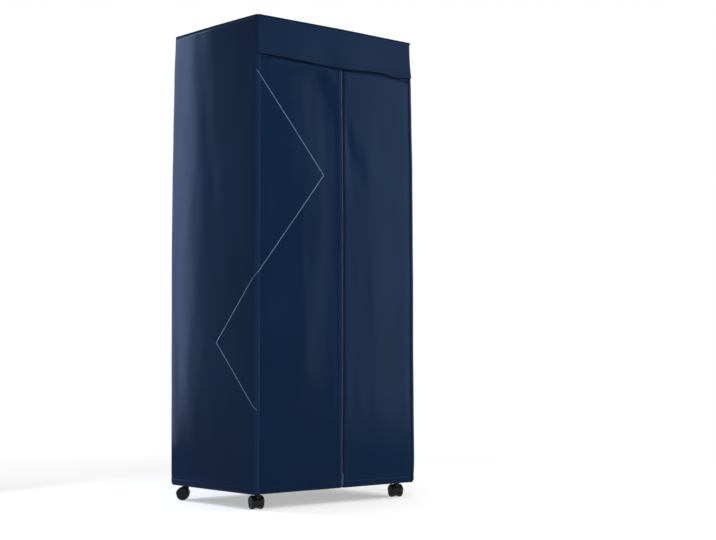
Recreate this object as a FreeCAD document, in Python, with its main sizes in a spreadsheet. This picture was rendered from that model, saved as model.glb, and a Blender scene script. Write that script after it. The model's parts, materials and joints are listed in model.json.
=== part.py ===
import FreeCAD, Part
import math
import os
import Sketcher
from FreeCAD import Placement, Rotation, Vector

# A portable clothes drying cabinet: a steel tube frame on four twin-wheel casters, a round fan heater on the
# bottom bars, and a cloth cover with two zipped doors under a valance.
# Millimetres. Origin on the floor under the middle of the cabinet, +Z up, front towards -Y, and +X to the
# right of someone who faces the front.

drivingSizes = {
    # frame
    "PostSpanX": 632,
    "PostSpanY": 416,
    "PostDiameter": 19,
    "TubeWall": 1.2,
    "SocketDepth": 24,
    "Play": 0.05,
    "FirstLevel": 54,
    "LevelPitch": 515.5,
    "BracketHeight": 54,
    "BracketSide": 40,
    "BracketRound": 6,
    "ArmWidth": 26,
    "ArmHeight": 28,
    "ArmWall": 3,
    "BarDiameter": 13,
    "BarLength": 594,
    "BarRise": 36,
    "BossDiameter": 20,
    "BossFace": 284,
    "BossLength": 22,
    "BarSocket": 13.5,
    "ArmRoot": 3,
    "ArmStep": 1,
    "MiddleRowFront": 88,
    "MiddleRowCentre": 55,
    "TopRowCentre": 112,
    "RowRear": 198,
    "EndGap": 0.5,
    "CutMargin": 1,
    # casters
    "WheelDiameter": 44,
    "WheelWidth": 16,
    "WheelGap": 0.5,
    "TreadRound": 5.5,
    "Trail": 12,
    "AxleDiameter": 5,
    "WebWidth": 12.4,
    "WebDiameter": 38,
    "HoodInner": 22.8,
    "HoodOuter": 24.4,
    "HoodWidth": 45,
    "HoodShoulder": 6,
    "HoodKnee": 2.3,
    "KneeDrop": 1,
    "EndDrop": 3.4,
    "NeckHalf": 8,
    "NeckTop": 51,
    "NeckRoot": 4,
    "HoodRise": 2,
    "AxleInset": 3,
    "RimWidth": 6,
    "RimSlope": 1.5,
    "DishDepth": 3,
    "HubWidth": 5,
    "HubSlope": 1.5,
    "CapInset": 0.5,
    "CapThickness": 2,
    "StemDiameter": 8,
    "StemBottom": 34,
    "StemTop": 79,
    "CollarDiameter": 13,
    "CollarGap": 0.3,
    # heater
    "SaddleRise": 3.3,
    "ShellDiameter": 226,
    "ShellWall": 2.6,
    "BaseThickness": 8,
    "ShellHeight": 117,
    "ShoulderRound": 39,
    "GrilleBase": 116,
    "GrilleTop": 99,
    "GrilleHeight": 54,
    "GrilleWall": 2.4,
    "GrilleWaist": 2.5,
    "GrilleWaistRise": 30,
    "GrilleFoot": 4,
    "GrilleFootSlope": 0.5,
    "GrilleSlots": 30,
    "GrilleSlotWidth": 7.4,
    "GrilleSlotHeight": 42,
    "OutletLip": 4,
    "BrimDiameter": 151,
    "BrimThickness": 3,
    "BrimRound": 1.2,
    "DomeDiameter": 115,
    "DomeHeight": 12,
    "PanelWidth": 64,
    "PanelHeight": 55,
    "PanelThickness": 2.2,
    "PanelGap": 0.05,
    "PanelRise": 1,
    "WindowWidth": 34,
    "WindowHeight": 16,
    "WindowThickness": 1.9,
    "WindowSeat": 0.5,
    "WindowDrop": 21,
    "ButtonDiameter": 9,
    "ButtonSpacing": 28,
    "ButtonRise": 13,
    "ButtonLength": 9,
    "ButtonProud": 1,
    "ButtonGap": 0.3,
    "BoardWidth": 56,
    "BoardHeight": 42,
    "BoardThickness": 1.6,
    "BoardInset": 11.6,
    "SwitchSize": 6,
    "SwitchDepth": 2,
    "ClipWidth": 49,
    "ClipHeight": 22,
    "ClipDepth": 30,
    "ClipGap": 0.3,
    "FitGap": 0.2,
    "BottomBarOffset": 90,
    "MotorDiameter": 44,
    "MotorHeight": 32,
    "ShaftDiameter": 5,
    "ShaftLength": 26,
    "FanDiameter": 128,
    "FanRise": 36,
    "FanDisc": 2,
    "FanHub": 22,
    "FanHubHeight": 22,
    "VaneThickness": 2,
    "VaneHeight": 18,
    "VaneOffset": 8,
    "VaneCount": 11,
    "VentLength": 46,
    "VentWidth": 5,
    "VentInset": 9,
    "VentCount": 24,
    "CarrierRise": 66,
    "CarrierThickness": 3,
    "ElementRise": 64,
    "ElementWidth": 103,
    "ElementDepth": 63,
    "ElementHeight": 16,
    "ElementWall": 4,
    "FinThickness": 1.2,
    "FinSpan": 48,
    "FinCount": 9,
    "InletWidth": 26,
    "InletHeight": 18,
    "InletDepth": 18,
    "InletRise": 20,
    "InletFlange": 3,
    "InletFlangeThickness": 2,
    "InletWall": 2,
    "SocketRecess": 16,
    "PinSpacing": 10,
    "PinDiameter": 2.4,
    "PinLength": 13,
    # cover
    "CoverWidth": 720,
    "CoverDepth": 512,
    "CoverTop": 1660,
    "Hem": 54,
    "Cloth": 1.2,
    "SewnGap": 0.2,
    "CornerGap": 0.4,
    "CornerRound": 18,
    "DoorPlane": 251,
    "DoorHinge": 340,
    "DoorTop": 1517,
    "HeaderPlane": 248.6,
    "HingeGap": 0.4,
    "HeaderBottom": 1497,
    "ValanceSides": 134,
    "ValanceMiddle": 140,
    "ValanceWave": 1.6,
    "DoorFold": 3,
    "DoorRise": 0.5,
    "ChainWidth": 7.2,
    "ChainThickness": 2,
    "ZipGap": 2,
    "ZipOffset": 18,
    "ChainRise": 3,
    "SliderBottom": 86,
    "SliderHeight": 18,
    "SliderWidth": 10.5,
    "SliderPlate": 1.2,
    "SliderBack": 1,
    "SliderGap": 0.3,
    "SliderWall": 1.3,
    "BridgeWidth": 2,
    "BridgeDepth": 2.6,
    "BridgeHeight": 12,
    "EyeDepth": 1.6,
    "EyeHeight": 9,
    "PullPin": 1.2,
    "PullWidth": 6.4,
    "PullThickness": 1,
    "PullLeg": 1.2,
    "PullLegLength": 12,
    "PullLength": 32,
}

doc = FreeCAD.newDocument("DryingCabinet")
sheet = doc.addObject("Spreadsheet::Sheet", "Sizes")
for row, (alias, number) in enumerate(drivingSizes.items(), start=1):
    sheet.set(f"A{row}", alias)
    sheet.set(f"B{row}", str(number))
    sheet.setAlias(f"B{row}", alias)
doc.recompute()

subParts = []


def read(expression):
    """The value in millimetres of an expression in the sheet's names."""
    return float(sheet.evalExpression(expression.replace("Sizes.", "")))


# ---- ways of making a body ----


def newBody(node, x="0", y="0", z="0", turn=None):
    body = doc.addObject("PartDesign::Body", node)
    body.Label = node
    body.AllowCompound = True
    for axis, expression in zip("xyz", (x, y, z)):
        body.setExpression(f"Placement.Base.{axis}", expression)
    if turn is not None:
        body.setExpression("Placement.Rotation.Angle", turn)
    subParts.append(body)
    return body


def newSketch(body, plane, x="0", y="0", z="0"):
    """A sketch parallel to one of the body's planes, with its origin at x, y, z in the body."""
    sketch = body.newObject("Sketcher::SketchObject", "Sketch")
    support = [feature for feature in body.Origin.OriginFeatures if feature.Role == plane][0]
    sketch.AttachmentSupport = [(support, "")]
    sketch.MapMode = "FlatFace"
    across, up, out = {"XY_Plane": (x, y, z), "XZ_Plane": (x, z, f"-({y})"), "YZ_Plane": (y, z, x)}[plane]
    sketch.setExpression("AttachmentOffset.Base.x", across)
    sketch.setExpression("AttachmentOffset.Base.y", up)
    sketch.setExpression("AttachmentOffset.Base.z", out)
    return sketch


def bindConstraint(sketch, constraint, expression):
    index = sketch.addConstraint(constraint)
    name = f"size{index}"
    sketch.renameConstraint(index, name)
    sketch.setExpression(f"Constraints.{name}", expression)


def drawCircle(sketch, radius):
    index = sketch.addGeometry(Part.Circle(Vector(0, 0, 0), Vector(0, 0, 1), read(radius)))
    sketch.addConstraint(Sketcher.Constraint("Coincident", index, 3, -1, 1))
    bindConstraint(sketch, Sketcher.Constraint("Radius", index, read(radius)), radius)


def drawRectangle(sketch, width, height):
    """A rectangle about the sketch's origin."""
    halfWidth = read(width) / 2
    halfHeight = read(height) / 2
    corners = [Vector(sx * halfWidth, sy * halfHeight, 0) for sx, sy in ((-1, -1), (1, -1), (1, 1), (-1, 1))]
    for i in range(4):
        sketch.addGeometry(Part.LineSegment(corners[i], corners[(i + 1) % 4]))
    for i in range(4):
        sketch.addConstraint(Sketcher.Constraint("Coincident", i, 2, (i + 1) % 4, 1))
        sketch.addConstraint(Sketcher.Constraint("Horizontal" if i % 2 == 0 else "Vertical", i))
    sketch.addConstraint(Sketcher.Constraint("Symmetric", 0, 1, 2, 1, -1, 1))
    bindConstraint(sketch, Sketcher.Constraint("DistanceX", 0, 1, 0, 2, 2 * halfWidth), width)
    bindConstraint(sketch, Sketcher.Constraint("DistanceY", 1, 1, 1, 2, 2 * halfHeight), height)


def drawProfile(sketch, points):
    """A closed outline of straight edges, each corner held by its two expressions."""
    corners = [Vector(read(px), read(py), 0) for px, py in points]
    count = len(corners)
    for i in range(count):
        sketch.addGeometry(Part.LineSegment(corners[i], corners[(i + 1) % count]))
    for i in range(count):
        sketch.addConstraint(Sketcher.Constraint("Coincident", i, 2, (i + 1) % count, 1))
    for i, (px, py) in enumerate(points):
        if abs(corners[i].x) < 1e-9:
            sketch.addConstraint(Sketcher.Constraint("PointOnObject", i, 1, -2))
        else:
            bindConstraint(sketch, Sketcher.Constraint("DistanceX", -1, 1, i, 1, corners[i].x), px)
        if abs(corners[i].y) < 1e-9:
            sketch.addConstraint(Sketcher.Constraint("PointOnObject", i, 1, -1))
        else:
            bindConstraint(sketch, Sketcher.Constraint("DistanceY", -1, 1, i, 1, corners[i].y), py)


def addPad(body, sketch, length, backwards=False):
    pad = body.newObject("PartDesign::Pad", "Pad")
    pad.Profile = sketch
    pad.setExpression("Length", length)
    pad.Reversed = backwards
    return pad


def addPocket(body, sketch, length, backwards=False):
    """Cuts away from the sketch against its normal, or along the normal when backwards."""
    doc.recompute()
    volume = body.Shape.Volume
    pocket = body.newObject("PartDesign::Pocket", "Pocket")
    pocket.Profile = sketch
    pocket.setExpression("Length", length)
    pocket.Reversed = backwards
    doc.recompute()
    if body.Shape.Volume > volume - 0.01:
        raise RuntimeError(f"a pocket of {body.Label} cuts nothing")
    return pocket


def addRevolution(body, sketch, axis):
    turn = body.newObject("PartDesign::Revolution", "Revolution")
    turn.Profile = sketch
    turn.ReferenceAxis = (sketch, [axis])
    turn.Angle = 360
    return turn


def addPattern(body, features, kind, axis, count, length=None):
    doc.recompute()
    pattern = body.newObject(f"PartDesign::{kind}", kind)
    pattern.Originals = features
    if kind == "LinearPattern":
        pattern.Direction = axis
        pattern.setExpression("Length", length)
    else:
        pattern.Axis = axis
        pattern.Angle = 360
    pattern.setExpression("Occurrences", count)
    body.Tip = pattern
    doc.recompute()
    return pattern


def addFillet(body, radius, wanted):
    """Rounds every edge of the body so far that the function wanted picks."""
    doc.recompute()
    base = body.Tip
    names = [f"Edge{i + 1}" for i, edge in enumerate(base.Shape.Edges) if wanted(edge)]
    if not names:
        raise RuntimeError(f"no edge of {body.Label} to round")
    fillet = body.newObject("PartDesign::Fillet", "Fillet")
    fillet.Base = (base, names)
    fillet.setExpression("Radius", radius)
    doc.recompute()
    return fillet


def originAxis(body, role):
    return ([feature for feature in body.Origin.OriginFeatures if feature.Role == role][0], [""])


def isUpright(edge):
    ends = edge.Vertexes
    if len(ends) != 2:
        return False
    first, last = ends[0].Point, ends[1].Point
    return math.hypot(first.x - last.x, first.y - last.y) < 1e-6 and abs(first.z - last.z) > 1e-6


def isLevelAt(edge, height):
    box = edge.BoundBox
    return abs(box.ZMin - height) < 1e-6 and abs(box.ZMax - height) < 1e-6


# ---- frame ----

halfSpanX = "Sizes.PostSpanX / 2"
halfSpanY = "Sizes.PostSpanY / 2"
barRadius = "Sizes.BarDiameter / 2"
levelNames = ["bottom", "lower", "upper", "top"]
sideNames = {-1: "left", 1: "right"}
endNames = {-1: "front", 1: "rear"}
# where each level's bars stand from front to back
barRows = {
    "bottom": ["-Sizes.BottomBarOffset", "Sizes.BottomBarOffset"],
    "lower": ["-Sizes.MiddleRowFront", "Sizes.MiddleRowCentre", "Sizes.RowRear"],
    "upper": ["-Sizes.MiddleRowFront", "Sizes.MiddleRowCentre", "Sizes.RowRear"],
    "top": [f"-{halfSpanY}", "Sizes.TopRowCentre", "Sizes.RowRear"],
}


def makeBracket(level, side):
    """One side's moulding at one level: two post blocks, the arm between them, sockets for posts and bars."""
    name = levelNames[level]
    body = newBody(f"{name}_bracket_{sideNames[side]}", z=f"Sizes.FirstLevel + {level} * Sizes.LevelPitch")
    postX = f"{side} * {halfSpanX}"
    for end in (-1, 1):
        block = newSketch(body, "XY_Plane", x=postX, y=f"{end} * {halfSpanY}")
        drawRectangle(block, "Sizes.BracketSide", "Sizes.BracketSide")
        addPad(body, block, "Sizes.BracketHeight")
    addFillet(body, "Sizes.BracketRound", isUpright)
    if name == "top":
        top = read("Sizes.BracketHeight")
        addFillet(body, "Sizes.BracketRound / 2", lambda edge: isLevelAt(edge, top))
    arm = newSketch(body, "XY_Plane", x=postX, z="Sizes.BracketHeight - Sizes.ArmHeight")
    drawRectangle(arm, "Sizes.ArmWidth", "Sizes.PostSpanY - Sizes.BracketSide + 2 * Sizes.ArmRoot")
    addPad(body, arm, "Sizes.ArmHeight - Sizes.ArmStep")
    channel = newSketch(body, "XY_Plane", x=postX, z="Sizes.BracketHeight - Sizes.ArmHeight")
    channelLength = "Sizes.PostSpanY - Sizes.BracketSide - 2 * Sizes.ArmRoot"
    drawRectangle(channel, "Sizes.ArmWidth - 2 * Sizes.ArmWall", channelLength)
    addPocket(body, channel, "Sizes.ArmHeight - Sizes.ArmStep - Sizes.ArmWall", backwards=True)
    for row in barRows[name]:
        boss = newSketch(body, "YZ_Plane", x=f"{side} * Sizes.BossFace", y=row, z="Sizes.BarRise")
        drawCircle(boss, "Sizes.BossDiameter / 2")
        addPad(body, boss, "Sizes.BossLength", backwards=side < 0)
    for row in barRows[name]:
        socket = newSketch(body, "YZ_Plane", x=f"{side} * Sizes.BossFace", y=row, z="Sizes.BarRise")
        drawCircle(socket, f"{barRadius} + Sizes.Play")
        addPocket(body, socket, "Sizes.BarSocket", backwards=side > 0)
    for end in (-1, 1):
        corner = {"x": postX, "y": f"{end} * {halfSpanY}"}
        if name != "top":
            above = newSketch(body, "XY_Plane", z="Sizes.BracketHeight", **corner)
            drawCircle(above, "Sizes.PostDiameter / 2 + Sizes.Play")
            addPocket(body, above, "Sizes.SocketDepth")
        below = newSketch(body, "XY_Plane", **corner)
        if name == "bottom":
            drawCircle(below, "Sizes.StemDiameter / 2 + Sizes.Play")
            addPocket(body, below, "Sizes.StemTop - Sizes.FirstLevel + Sizes.EndGap", backwards=True)
        else:
            drawCircle(below, "Sizes.PostDiameter / 2 + Sizes.Play")
            addPocket(body, below, "Sizes.SocketDepth", backwards=True)


def makePost(end, side):
    """The three tubes that stand on each other between the four levels."""
    body = newBody(
        f"{endNames[end]}_{sideNames[side]}_post",
        x=f"{side} * {halfSpanX}",
        y=f"{end} * {halfSpanY}",
        z="Sizes.FirstLevel + Sizes.BracketHeight - Sizes.SocketDepth",
    )
    ring = newSketch(body, "XY_Plane")
    drawCircle(ring, "Sizes.PostDiameter / 2")
    drawCircle(ring, "Sizes.PostDiameter / 2 - Sizes.TubeWall")
    tube = addPad(body, ring, "Sizes.LevelPitch - Sizes.BracketHeight + 2 * Sizes.SocketDepth")
    addPattern(body, [tube], "LinearPattern", originAxis(body, "Z_Axis"), "3", "2 * Sizes.LevelPitch")


def makeBars(level):
    name = levelNames[level]
    body = newBody(f"{name}_bars", z=f"Sizes.FirstLevel + {level} * Sizes.LevelPitch + Sizes.BarRise")
    for row in barRows[name]:
        ring = newSketch(body, "YZ_Plane", x="-Sizes.BarLength / 2", y=row)
        drawCircle(ring, barRadius)
        drawCircle(ring, f"{barRadius} - Sizes.TubeWall")
        addPad(body, ring, "Sizes.BarLength")


def makeStems():
    """Steel stems of the four casters, pressed up into the bottom brackets, each with a collar."""
    body = newBody("caster_stems")
    for end in (-1, 1):
        for side in (-1, 1):
            corner = {"x": f"{side} * {halfSpanX}", "y": f"{end} * {halfSpanY}"}
            rod = newSketch(body, "XY_Plane", z="Sizes.StemBottom", **corner)
            drawCircle(rod, "Sizes.StemDiameter / 2")
            addPad(body, rod, "Sizes.StemTop - Sizes.StemBottom")
            collar = newSketch(body, "XY_Plane", z="Sizes.NeckTop + Sizes.CollarGap", **corner)
            drawCircle(collar, "Sizes.CollarDiameter / 2")
            addPad(body, collar, "Sizes.FirstLevel - Sizes.NeckTop - Sizes.CollarGap")


# ---- casters ----

# which way each caster trails at rest, in degrees from +X
casterTurns = {(-1, -1): "72", (-1, 1): "71", (1, -1): "139", (1, 1): "-110"}
axleHeight = "Sizes.WheelDiameter / 2"


def makeCaster(end, side):
    name = f"{endNames[end]}_{sideNames[side]}"
    corner = {"x": f"{side} * {halfSpanX}", "y": f"{end} * {halfSpanY}", "turn": casterTurns[(end, side)]}

    hood = newBody(f"{name}_caster_hood", **corner)
    # the hood's wall: a turned ring that comes in over the wheels' outer shoulders, of which the lower part goes
    ends = (
        ("Sizes.HoodWidth / 2", "Sizes.EndDrop"),
        ("(Sizes.HoodWidth / 2 - Sizes.HoodKnee)", "Sizes.KneeDrop"),
        ("(Sizes.HoodWidth / 2 - Sizes.HoodShoulder)", "0"),
    )
    outside = [(f"-{across}", f"Sizes.HoodOuter - {drop}") for across, drop in ends]
    outside += [(across, f"Sizes.HoodOuter - {drop}") for across, drop in reversed(ends)]
    inside = [(across, f"Sizes.HoodInner - {drop}") for across, drop in ends]
    inside += [(f"-{across}", f"Sizes.HoodInner - {drop}") for across, drop in reversed(ends)]
    arch = newSketch(hood, "YZ_Plane", x="Sizes.Trail", z=axleHeight)
    drawProfile(arch, outside + inside)
    addRevolution(hood, arch, "H_Axis")
    lower = newSketch(
        hood,
        "XZ_Plane",
        x="Sizes.Trail",
        y="Sizes.HoodWidth / 2 + Sizes.CutMargin",
        z=f"{axleHeight} + Sizes.HoodRise - Sizes.HoodOuter",
    )
    drawRectangle(lower, "3 * Sizes.HoodOuter", "2 * Sizes.HoodOuter")
    addPocket(hood, lower, "Sizes.HoodWidth + 2 * Sizes.CutMargin", backwards=True)
    web = newSketch(hood, "XZ_Plane", x="Sizes.Trail", y="Sizes.WebWidth / 2", z=axleHeight)
    drawCircle(web, "Sizes.WebDiameter / 2")
    addPad(hood, web, "Sizes.WebWidth")
    neck = newSketch(
        hood,
        "XZ_Plane",
        x="Sizes.Trail / 2 - Sizes.NeckHalf / 2",
        y="Sizes.WebWidth / 2",
        z=f"({axleHeight} - Sizes.NeckRoot + Sizes.NeckTop) / 2",
    )
    drawRectangle(neck, "Sizes.Trail + Sizes.NeckHalf", f"Sizes.NeckTop - {axleHeight} + Sizes.NeckRoot")
    addPad(hood, neck, "Sizes.WebWidth")
    well = newSketch(hood, "XY_Plane", z="Sizes.NeckTop")
    drawCircle(well, "Sizes.StemDiameter / 2 + Sizes.Play")
    addPocket(hood, well, "Sizes.NeckTop - Sizes.StemBottom + Sizes.EndGap")
    webFace = "Sizes.WebWidth / 2"
    through = newSketch(hood, "XZ_Plane", x="Sizes.Trail", y=f"-{webFace} - Sizes.CutMargin", z=axleHeight)
    drawCircle(through, "Sizes.AxleDiameter / 2 + Sizes.Play / 2")
    addPocket(hood, through, "Sizes.WebWidth + 2 * Sizes.CutMargin")

    axle = newBody(f"{name}_caster_axle", **corner)
    axleReach = f"({webFace} + Sizes.WheelWidth - Sizes.AxleInset)"
    pin = newSketch(axle, "XZ_Plane", x="Sizes.Trail", y=axleReach, z=axleHeight)
    drawCircle(pin, "Sizes.AxleDiameter / 2")
    addPad(axle, pin, f"2 * {axleReach}")

    inner = f"({webFace} + Sizes.WheelGap)"
    outer = f"({inner} + Sizes.WheelWidth)"
    dish = f"({outer} - Sizes.DishDepth)"
    capFace = f"({outer} - Sizes.CapInset)"
    capBack = f"({capFace} - Sizes.CapThickness)"
    rim = "(Sizes.WheelDiameter / 2 - Sizes.RimWidth)"
    hub = "(Sizes.AxleDiameter / 2 + Sizes.HubWidth)"
    bore = "Sizes.AxleDiameter / 2 + Sizes.Play"
    tread = read("Sizes.WheelDiameter / 2")
    for hand, sign in (("a", -1), ("b", 1)):
        wheel = newBody(f"{name}_wheel_{hand}", **corner)
        half = newSketch(wheel, "YZ_Plane", x="Sizes.Trail", z=axleHeight)
        drawProfile(
            half,
            [
                (f"{sign} * {inner}", bore),
                (f"{sign} * {inner}", "Sizes.WheelDiameter / 2"),
                (f"{sign} * {outer}", "Sizes.WheelDiameter / 2"),
                (f"{sign} * {outer}", rim),
                (f"{sign} * {dish}", f"{rim} - Sizes.RimSlope"),
                (f"{sign} * {dish}", hub),
                (f"{sign} * {capFace}", f"{hub} - Sizes.HubSlope"),
                (f"{sign} * {capFace}", "0"),
                (f"{sign} * {capBack}", "0"),
                (f"{sign} * {capBack}", bore),
            ],
        )
        addRevolution(wheel, half, "H_Axis")
        addFillet(
            wheel,
            "Sizes.TreadRound",
            lambda edge: hasattr(edge.Curve, "Radius") and abs(edge.Curve.Radius - tread) < 1e-6,
        )


# ---- heater ----

bottomBarTop = "Sizes.FirstLevel + Sizes.BarRise + Sizes.BarDiameter / 2"
heaterBase = f"({bottomBarTop} + Sizes.SaddleRise)"
shellRadius = "Sizes.ShellDiameter / 2"
shellTop = "(Sizes.BaseThickness + Sizes.ShellHeight)"
panelBottom = "(Sizes.BaseThickness + Sizes.PanelRise)"
panelCentre = f"({panelBottom} + Sizes.PanelHeight / 2)"
panelBack = f"({shellRadius} + Sizes.PanelGap)"
panelFace = f"({panelBack} + Sizes.PanelThickness)"
windowHeight = f"({panelBottom} + Sizes.PanelHeight - Sizes.WindowDrop)"
buttonHeight = "(Sizes.BaseThickness + Sizes.ButtonRise)"
buttonHole = "Sizes.ButtonDiameter / 2 + Sizes.ButtonGap"
inletHeight = "(Sizes.BaseThickness + Sizes.InletRise)"


def newHeaterBody(node):
    return newBody(node, z=heaterBase)


def makeHeaterShell():
    body = newHeaterBody("heater_shell")
    half = newSketch(body, "XZ_Plane")
    innerRadius = f"{shellRadius} - Sizes.ShellWall"
    drawProfile(
        half,
        [
            (shellRadius, "Sizes.BaseThickness"),
            (shellRadius, shellTop),
            ("Sizes.GrilleBase / 2 - Sizes.OutletLip", shellTop),
            ("Sizes.GrilleBase / 2 - Sizes.OutletLip", f"{shellTop} - Sizes.ShellWall"),
            (innerRadius, f"{shellTop} - Sizes.ShellWall"),
            (innerRadius, "Sizes.BaseThickness"),
        ],
    )
    addRevolution(body, half, "V_Axis")
    doc.recompute()
    top = read(shellTop)
    outerRim = read(shellRadius)
    innerRim = read(innerRadius)
    wall = read("Sizes.ShellWall")
    addFillet(
        body,
        "Sizes.ShoulderRound",
        lambda edge: isLevelAt(edge, top) and edge.BoundBox.XMax > outerRim - 1,
    )
    addFillet(
        body,
        "Sizes.ShoulderRound - Sizes.ShellWall",
        lambda edge: isLevelAt(edge, top - wall) and abs(edge.BoundBox.XMax - innerRim) < 1,
    )
    for side in (-1, 1):
        hole = newSketch(
            body, "XZ_Plane", x=f"{side} * Sizes.ButtonSpacing / 2", y=f"-{panelFace}", z=buttonHeight
        )
        drawCircle(hole, buttonHole)
        addPocket(body, hole, "2 * Sizes.ButtonLength")
    inlet = newSketch(body, "XZ_Plane", y=f"{shellRadius} - Sizes.InletDepth / 2", z=inletHeight)
    drawRectangle(inlet, "Sizes.InletWidth + 2 * Sizes.FitGap", "Sizes.InletHeight + 2 * Sizes.FitGap")
    addPocket(body, inlet, "Sizes.InletDepth")


def makeHeaterBase():
    body = newHeaterBody("heater_base")
    disc = newSketch(body, "XY_Plane")
    drawCircle(disc, shellRadius)
    addPad(body, disc, "Sizes.BaseThickness")
    slotCentre = "Sizes.MotorDiameter / 2 + Sizes.VentInset + Sizes.VentLength / 2"
    slot = newSketch(body, "XY_Plane", x=slotCentre, z="Sizes.BaseThickness")
    drawRectangle(slot, "Sizes.VentLength", "Sizes.VentWidth")
    cut = addPocket(body, slot, "Sizes.BaseThickness")
    addPattern(body, [cut], "PolarPattern", originAxis(body, "Z_Axis"), "Sizes.VentCount")


def makeGrille():
    """The flared outlet guard: a waisted wall of revolution with upright slots all round."""
    body = newHeaterBody("outlet_grille")
    half = newSketch(body, "XZ_Plane")
    waist = "((Sizes.GrilleBase + Sizes.GrilleTop) / 4 - Sizes.GrilleWaist)"
    middle = f"{shellTop} + Sizes.GrilleWaistRise"
    foot = "Sizes.GrilleBase / 2 - Sizes.GrilleFootSlope"
    drawProfile(
        half,
        [
            ("Sizes.GrilleBase / 2", shellTop),
            (foot, f"{shellTop} + Sizes.GrilleFoot"),
            (waist, middle),
            ("Sizes.GrilleTop / 2", f"{shellTop} + Sizes.GrilleHeight"),
            ("Sizes.GrilleTop / 2 - Sizes.GrilleWall", f"{shellTop} + Sizes.GrilleHeight"),
            (f"{waist} - Sizes.GrilleWall", middle),
            (f"{foot} - Sizes.GrilleWall", f"{shellTop} + Sizes.GrilleFoot"),
            ("Sizes.GrilleBase / 2 - Sizes.GrilleWall", shellTop),
        ],
    )
    addRevolution(body, half, "V_Axis")
    slotHeight = f"{shellTop} + (Sizes.GrilleHeight + Sizes.CutMargin) / 2"
    slot = newSketch(body, "YZ_Plane", x="Sizes.GrilleBase / 2 + Sizes.CutMargin", z=slotHeight)
    drawRectangle(slot, "Sizes.GrilleSlotWidth", "Sizes.GrilleSlotHeight")
    cut = addPocket(body, slot, "Sizes.GrilleTop / 4")
    addPattern(body, [cut], "PolarPattern", originAxis(body, "Z_Axis"), "Sizes.GrilleSlots")


def makeCap():
    body = newHeaterBody("outlet_cap")
    base = f"{shellTop} + Sizes.GrilleHeight"
    brim = newSketch(body, "XY_Plane", z=base)
    drawCircle(brim, "Sizes.BrimDiameter / 2")
    addPad(body, brim, "Sizes.BrimThickness")
    dome = newSketch(body, "XY_Plane", z=f"{base} + Sizes.BrimThickness")
    drawCircle(dome, "Sizes.DomeDiameter / 2")
    addPad(body, dome, "Sizes.DomeHeight")
    crown = read(f"{base} + Sizes.BrimThickness + Sizes.DomeHeight")
    rim = read(f"{base} + Sizes.BrimThickness")
    addFillet(body, "Sizes.DomeHeight - Sizes.EndGap", lambda edge: isLevelAt(edge, crown))
    brimEdge = read("Sizes.BrimDiameter / 2")
    addFillet(
        body,
        "Sizes.BrimRound",
        lambda edge: isLevelAt(edge, rim) and edge.BoundBox.XMax > brimEdge - 1,
    )


def makeControlPanel():
    """An arched plate bent round the shell, with a recess for the window and holes for the two buttons."""
    body = newHeaterBody("control_panel")
    ring = newSketch(body, "XY_Plane", z=panelBottom)
    drawCircle(ring, panelFace)
    drawCircle(ring, panelBack)
    addPad(body, ring, "Sizes.PanelHeight")
    # keep only the part of the ring inside an arch drawn on the front
    front = newSketch(body, "XZ_Plane", y=f"-{panelFace} - Sizes.CutMargin", z=panelBottom)
    drawArchFrame(front, "Sizes.PanelWidth / 2", "Sizes.PanelHeight", "Sizes.ShellDiameter")
    addPocket(body, front, "Sizes.ShellDiameter + Sizes.ShellWall * 4")
    back = newSketch(body, "XY_Plane", y="Sizes.ShellDiameter / 4", z="Sizes.BaseThickness")
    margin = "8 * Sizes.ShellWall"
    drawRectangle(back, f"Sizes.ShellDiameter + {margin}", f"Sizes.ShellDiameter - {margin}")
    addPocket(body, back, "Sizes.PanelHeight + 2 * Sizes.PanelRise", backwards=True)
    recess = newSketch(body, "XZ_Plane", y=f"-{panelFace} - Sizes.CutMargin", z=windowHeight)
    drawRectangle(recess, "Sizes.WindowWidth + Sizes.FitGap", "Sizes.WindowHeight + Sizes.FitGap")
    # down to the seat that the window's back rests on, and no deeper than the panel
    addPocket(body, recess, f"{panelFace} + Sizes.CutMargin - {shellRadius} - Sizes.WindowSeat")
    for side in (-1, 1):
        hole = newSketch(
            body,
            "XZ_Plane",
            x=f"{side} * Sizes.ButtonSpacing / 2",
            y=f"-{panelFace} - Sizes.CutMargin",
            z=buttonHeight,
        )
        drawCircle(hole, buttonHole)
        addPocket(body, hole, "2 * Sizes.ButtonLength")


def drawArchFrame(sketch, radius, height, reach):
    """Everything outside an arch on the sketch's x axis, out to a rectangle: the waste cut from the panel."""
    r = read(radius)
    tall = read(height)
    wide = read(reach)
    low = -read("Sizes.CutMargin")
    high = tall - low
    shoulder = tall - r
    points = [
        Vector(-r, shoulder, 0),
        Vector(-r, low, 0),
        Vector(-wide, low, 0),
        Vector(-wide, high, 0),
        Vector(wide, high, 0),
        Vector(wide, low, 0),
        Vector(r, low, 0),
        Vector(r, shoulder, 0),
    ]
    for first, last in zip(points, points[1:]):
        sketch.addGeometry(Part.LineSegment(first, last))
    sketch.addGeometry(Part.Arc(points[-1], Vector(0, tall, 0), points[0]))


def makeWindow():
    body = newHeaterBody("display_window")
    plate = newSketch(body, "XZ_Plane", y=f"-{shellRadius} - Sizes.WindowSeat", z=windowHeight)
    drawRectangle(plate, "Sizes.WindowWidth", "Sizes.WindowHeight")
    addPad(body, plate, "Sizes.WindowThickness")


def makeButton(node, side):
    body = newHeaterBody(node)
    cap = newSketch(
        body,
        "XZ_Plane",
        x=f"{side} * Sizes.ButtonSpacing / 2",
        y=f"Sizes.ButtonLength - {panelFace} - Sizes.ButtonProud",
        z=buttonHeight,
    )
    drawCircle(cap, "Sizes.ButtonDiameter / 2")
    addPad(body, cap, "Sizes.ButtonLength")
    face = read(f"-{panelFace} - Sizes.ButtonProud")
    addFillet(body, "Sizes.ButtonProud", lambda edge: edge.BoundBox.YMax < face + 0.01)


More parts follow.
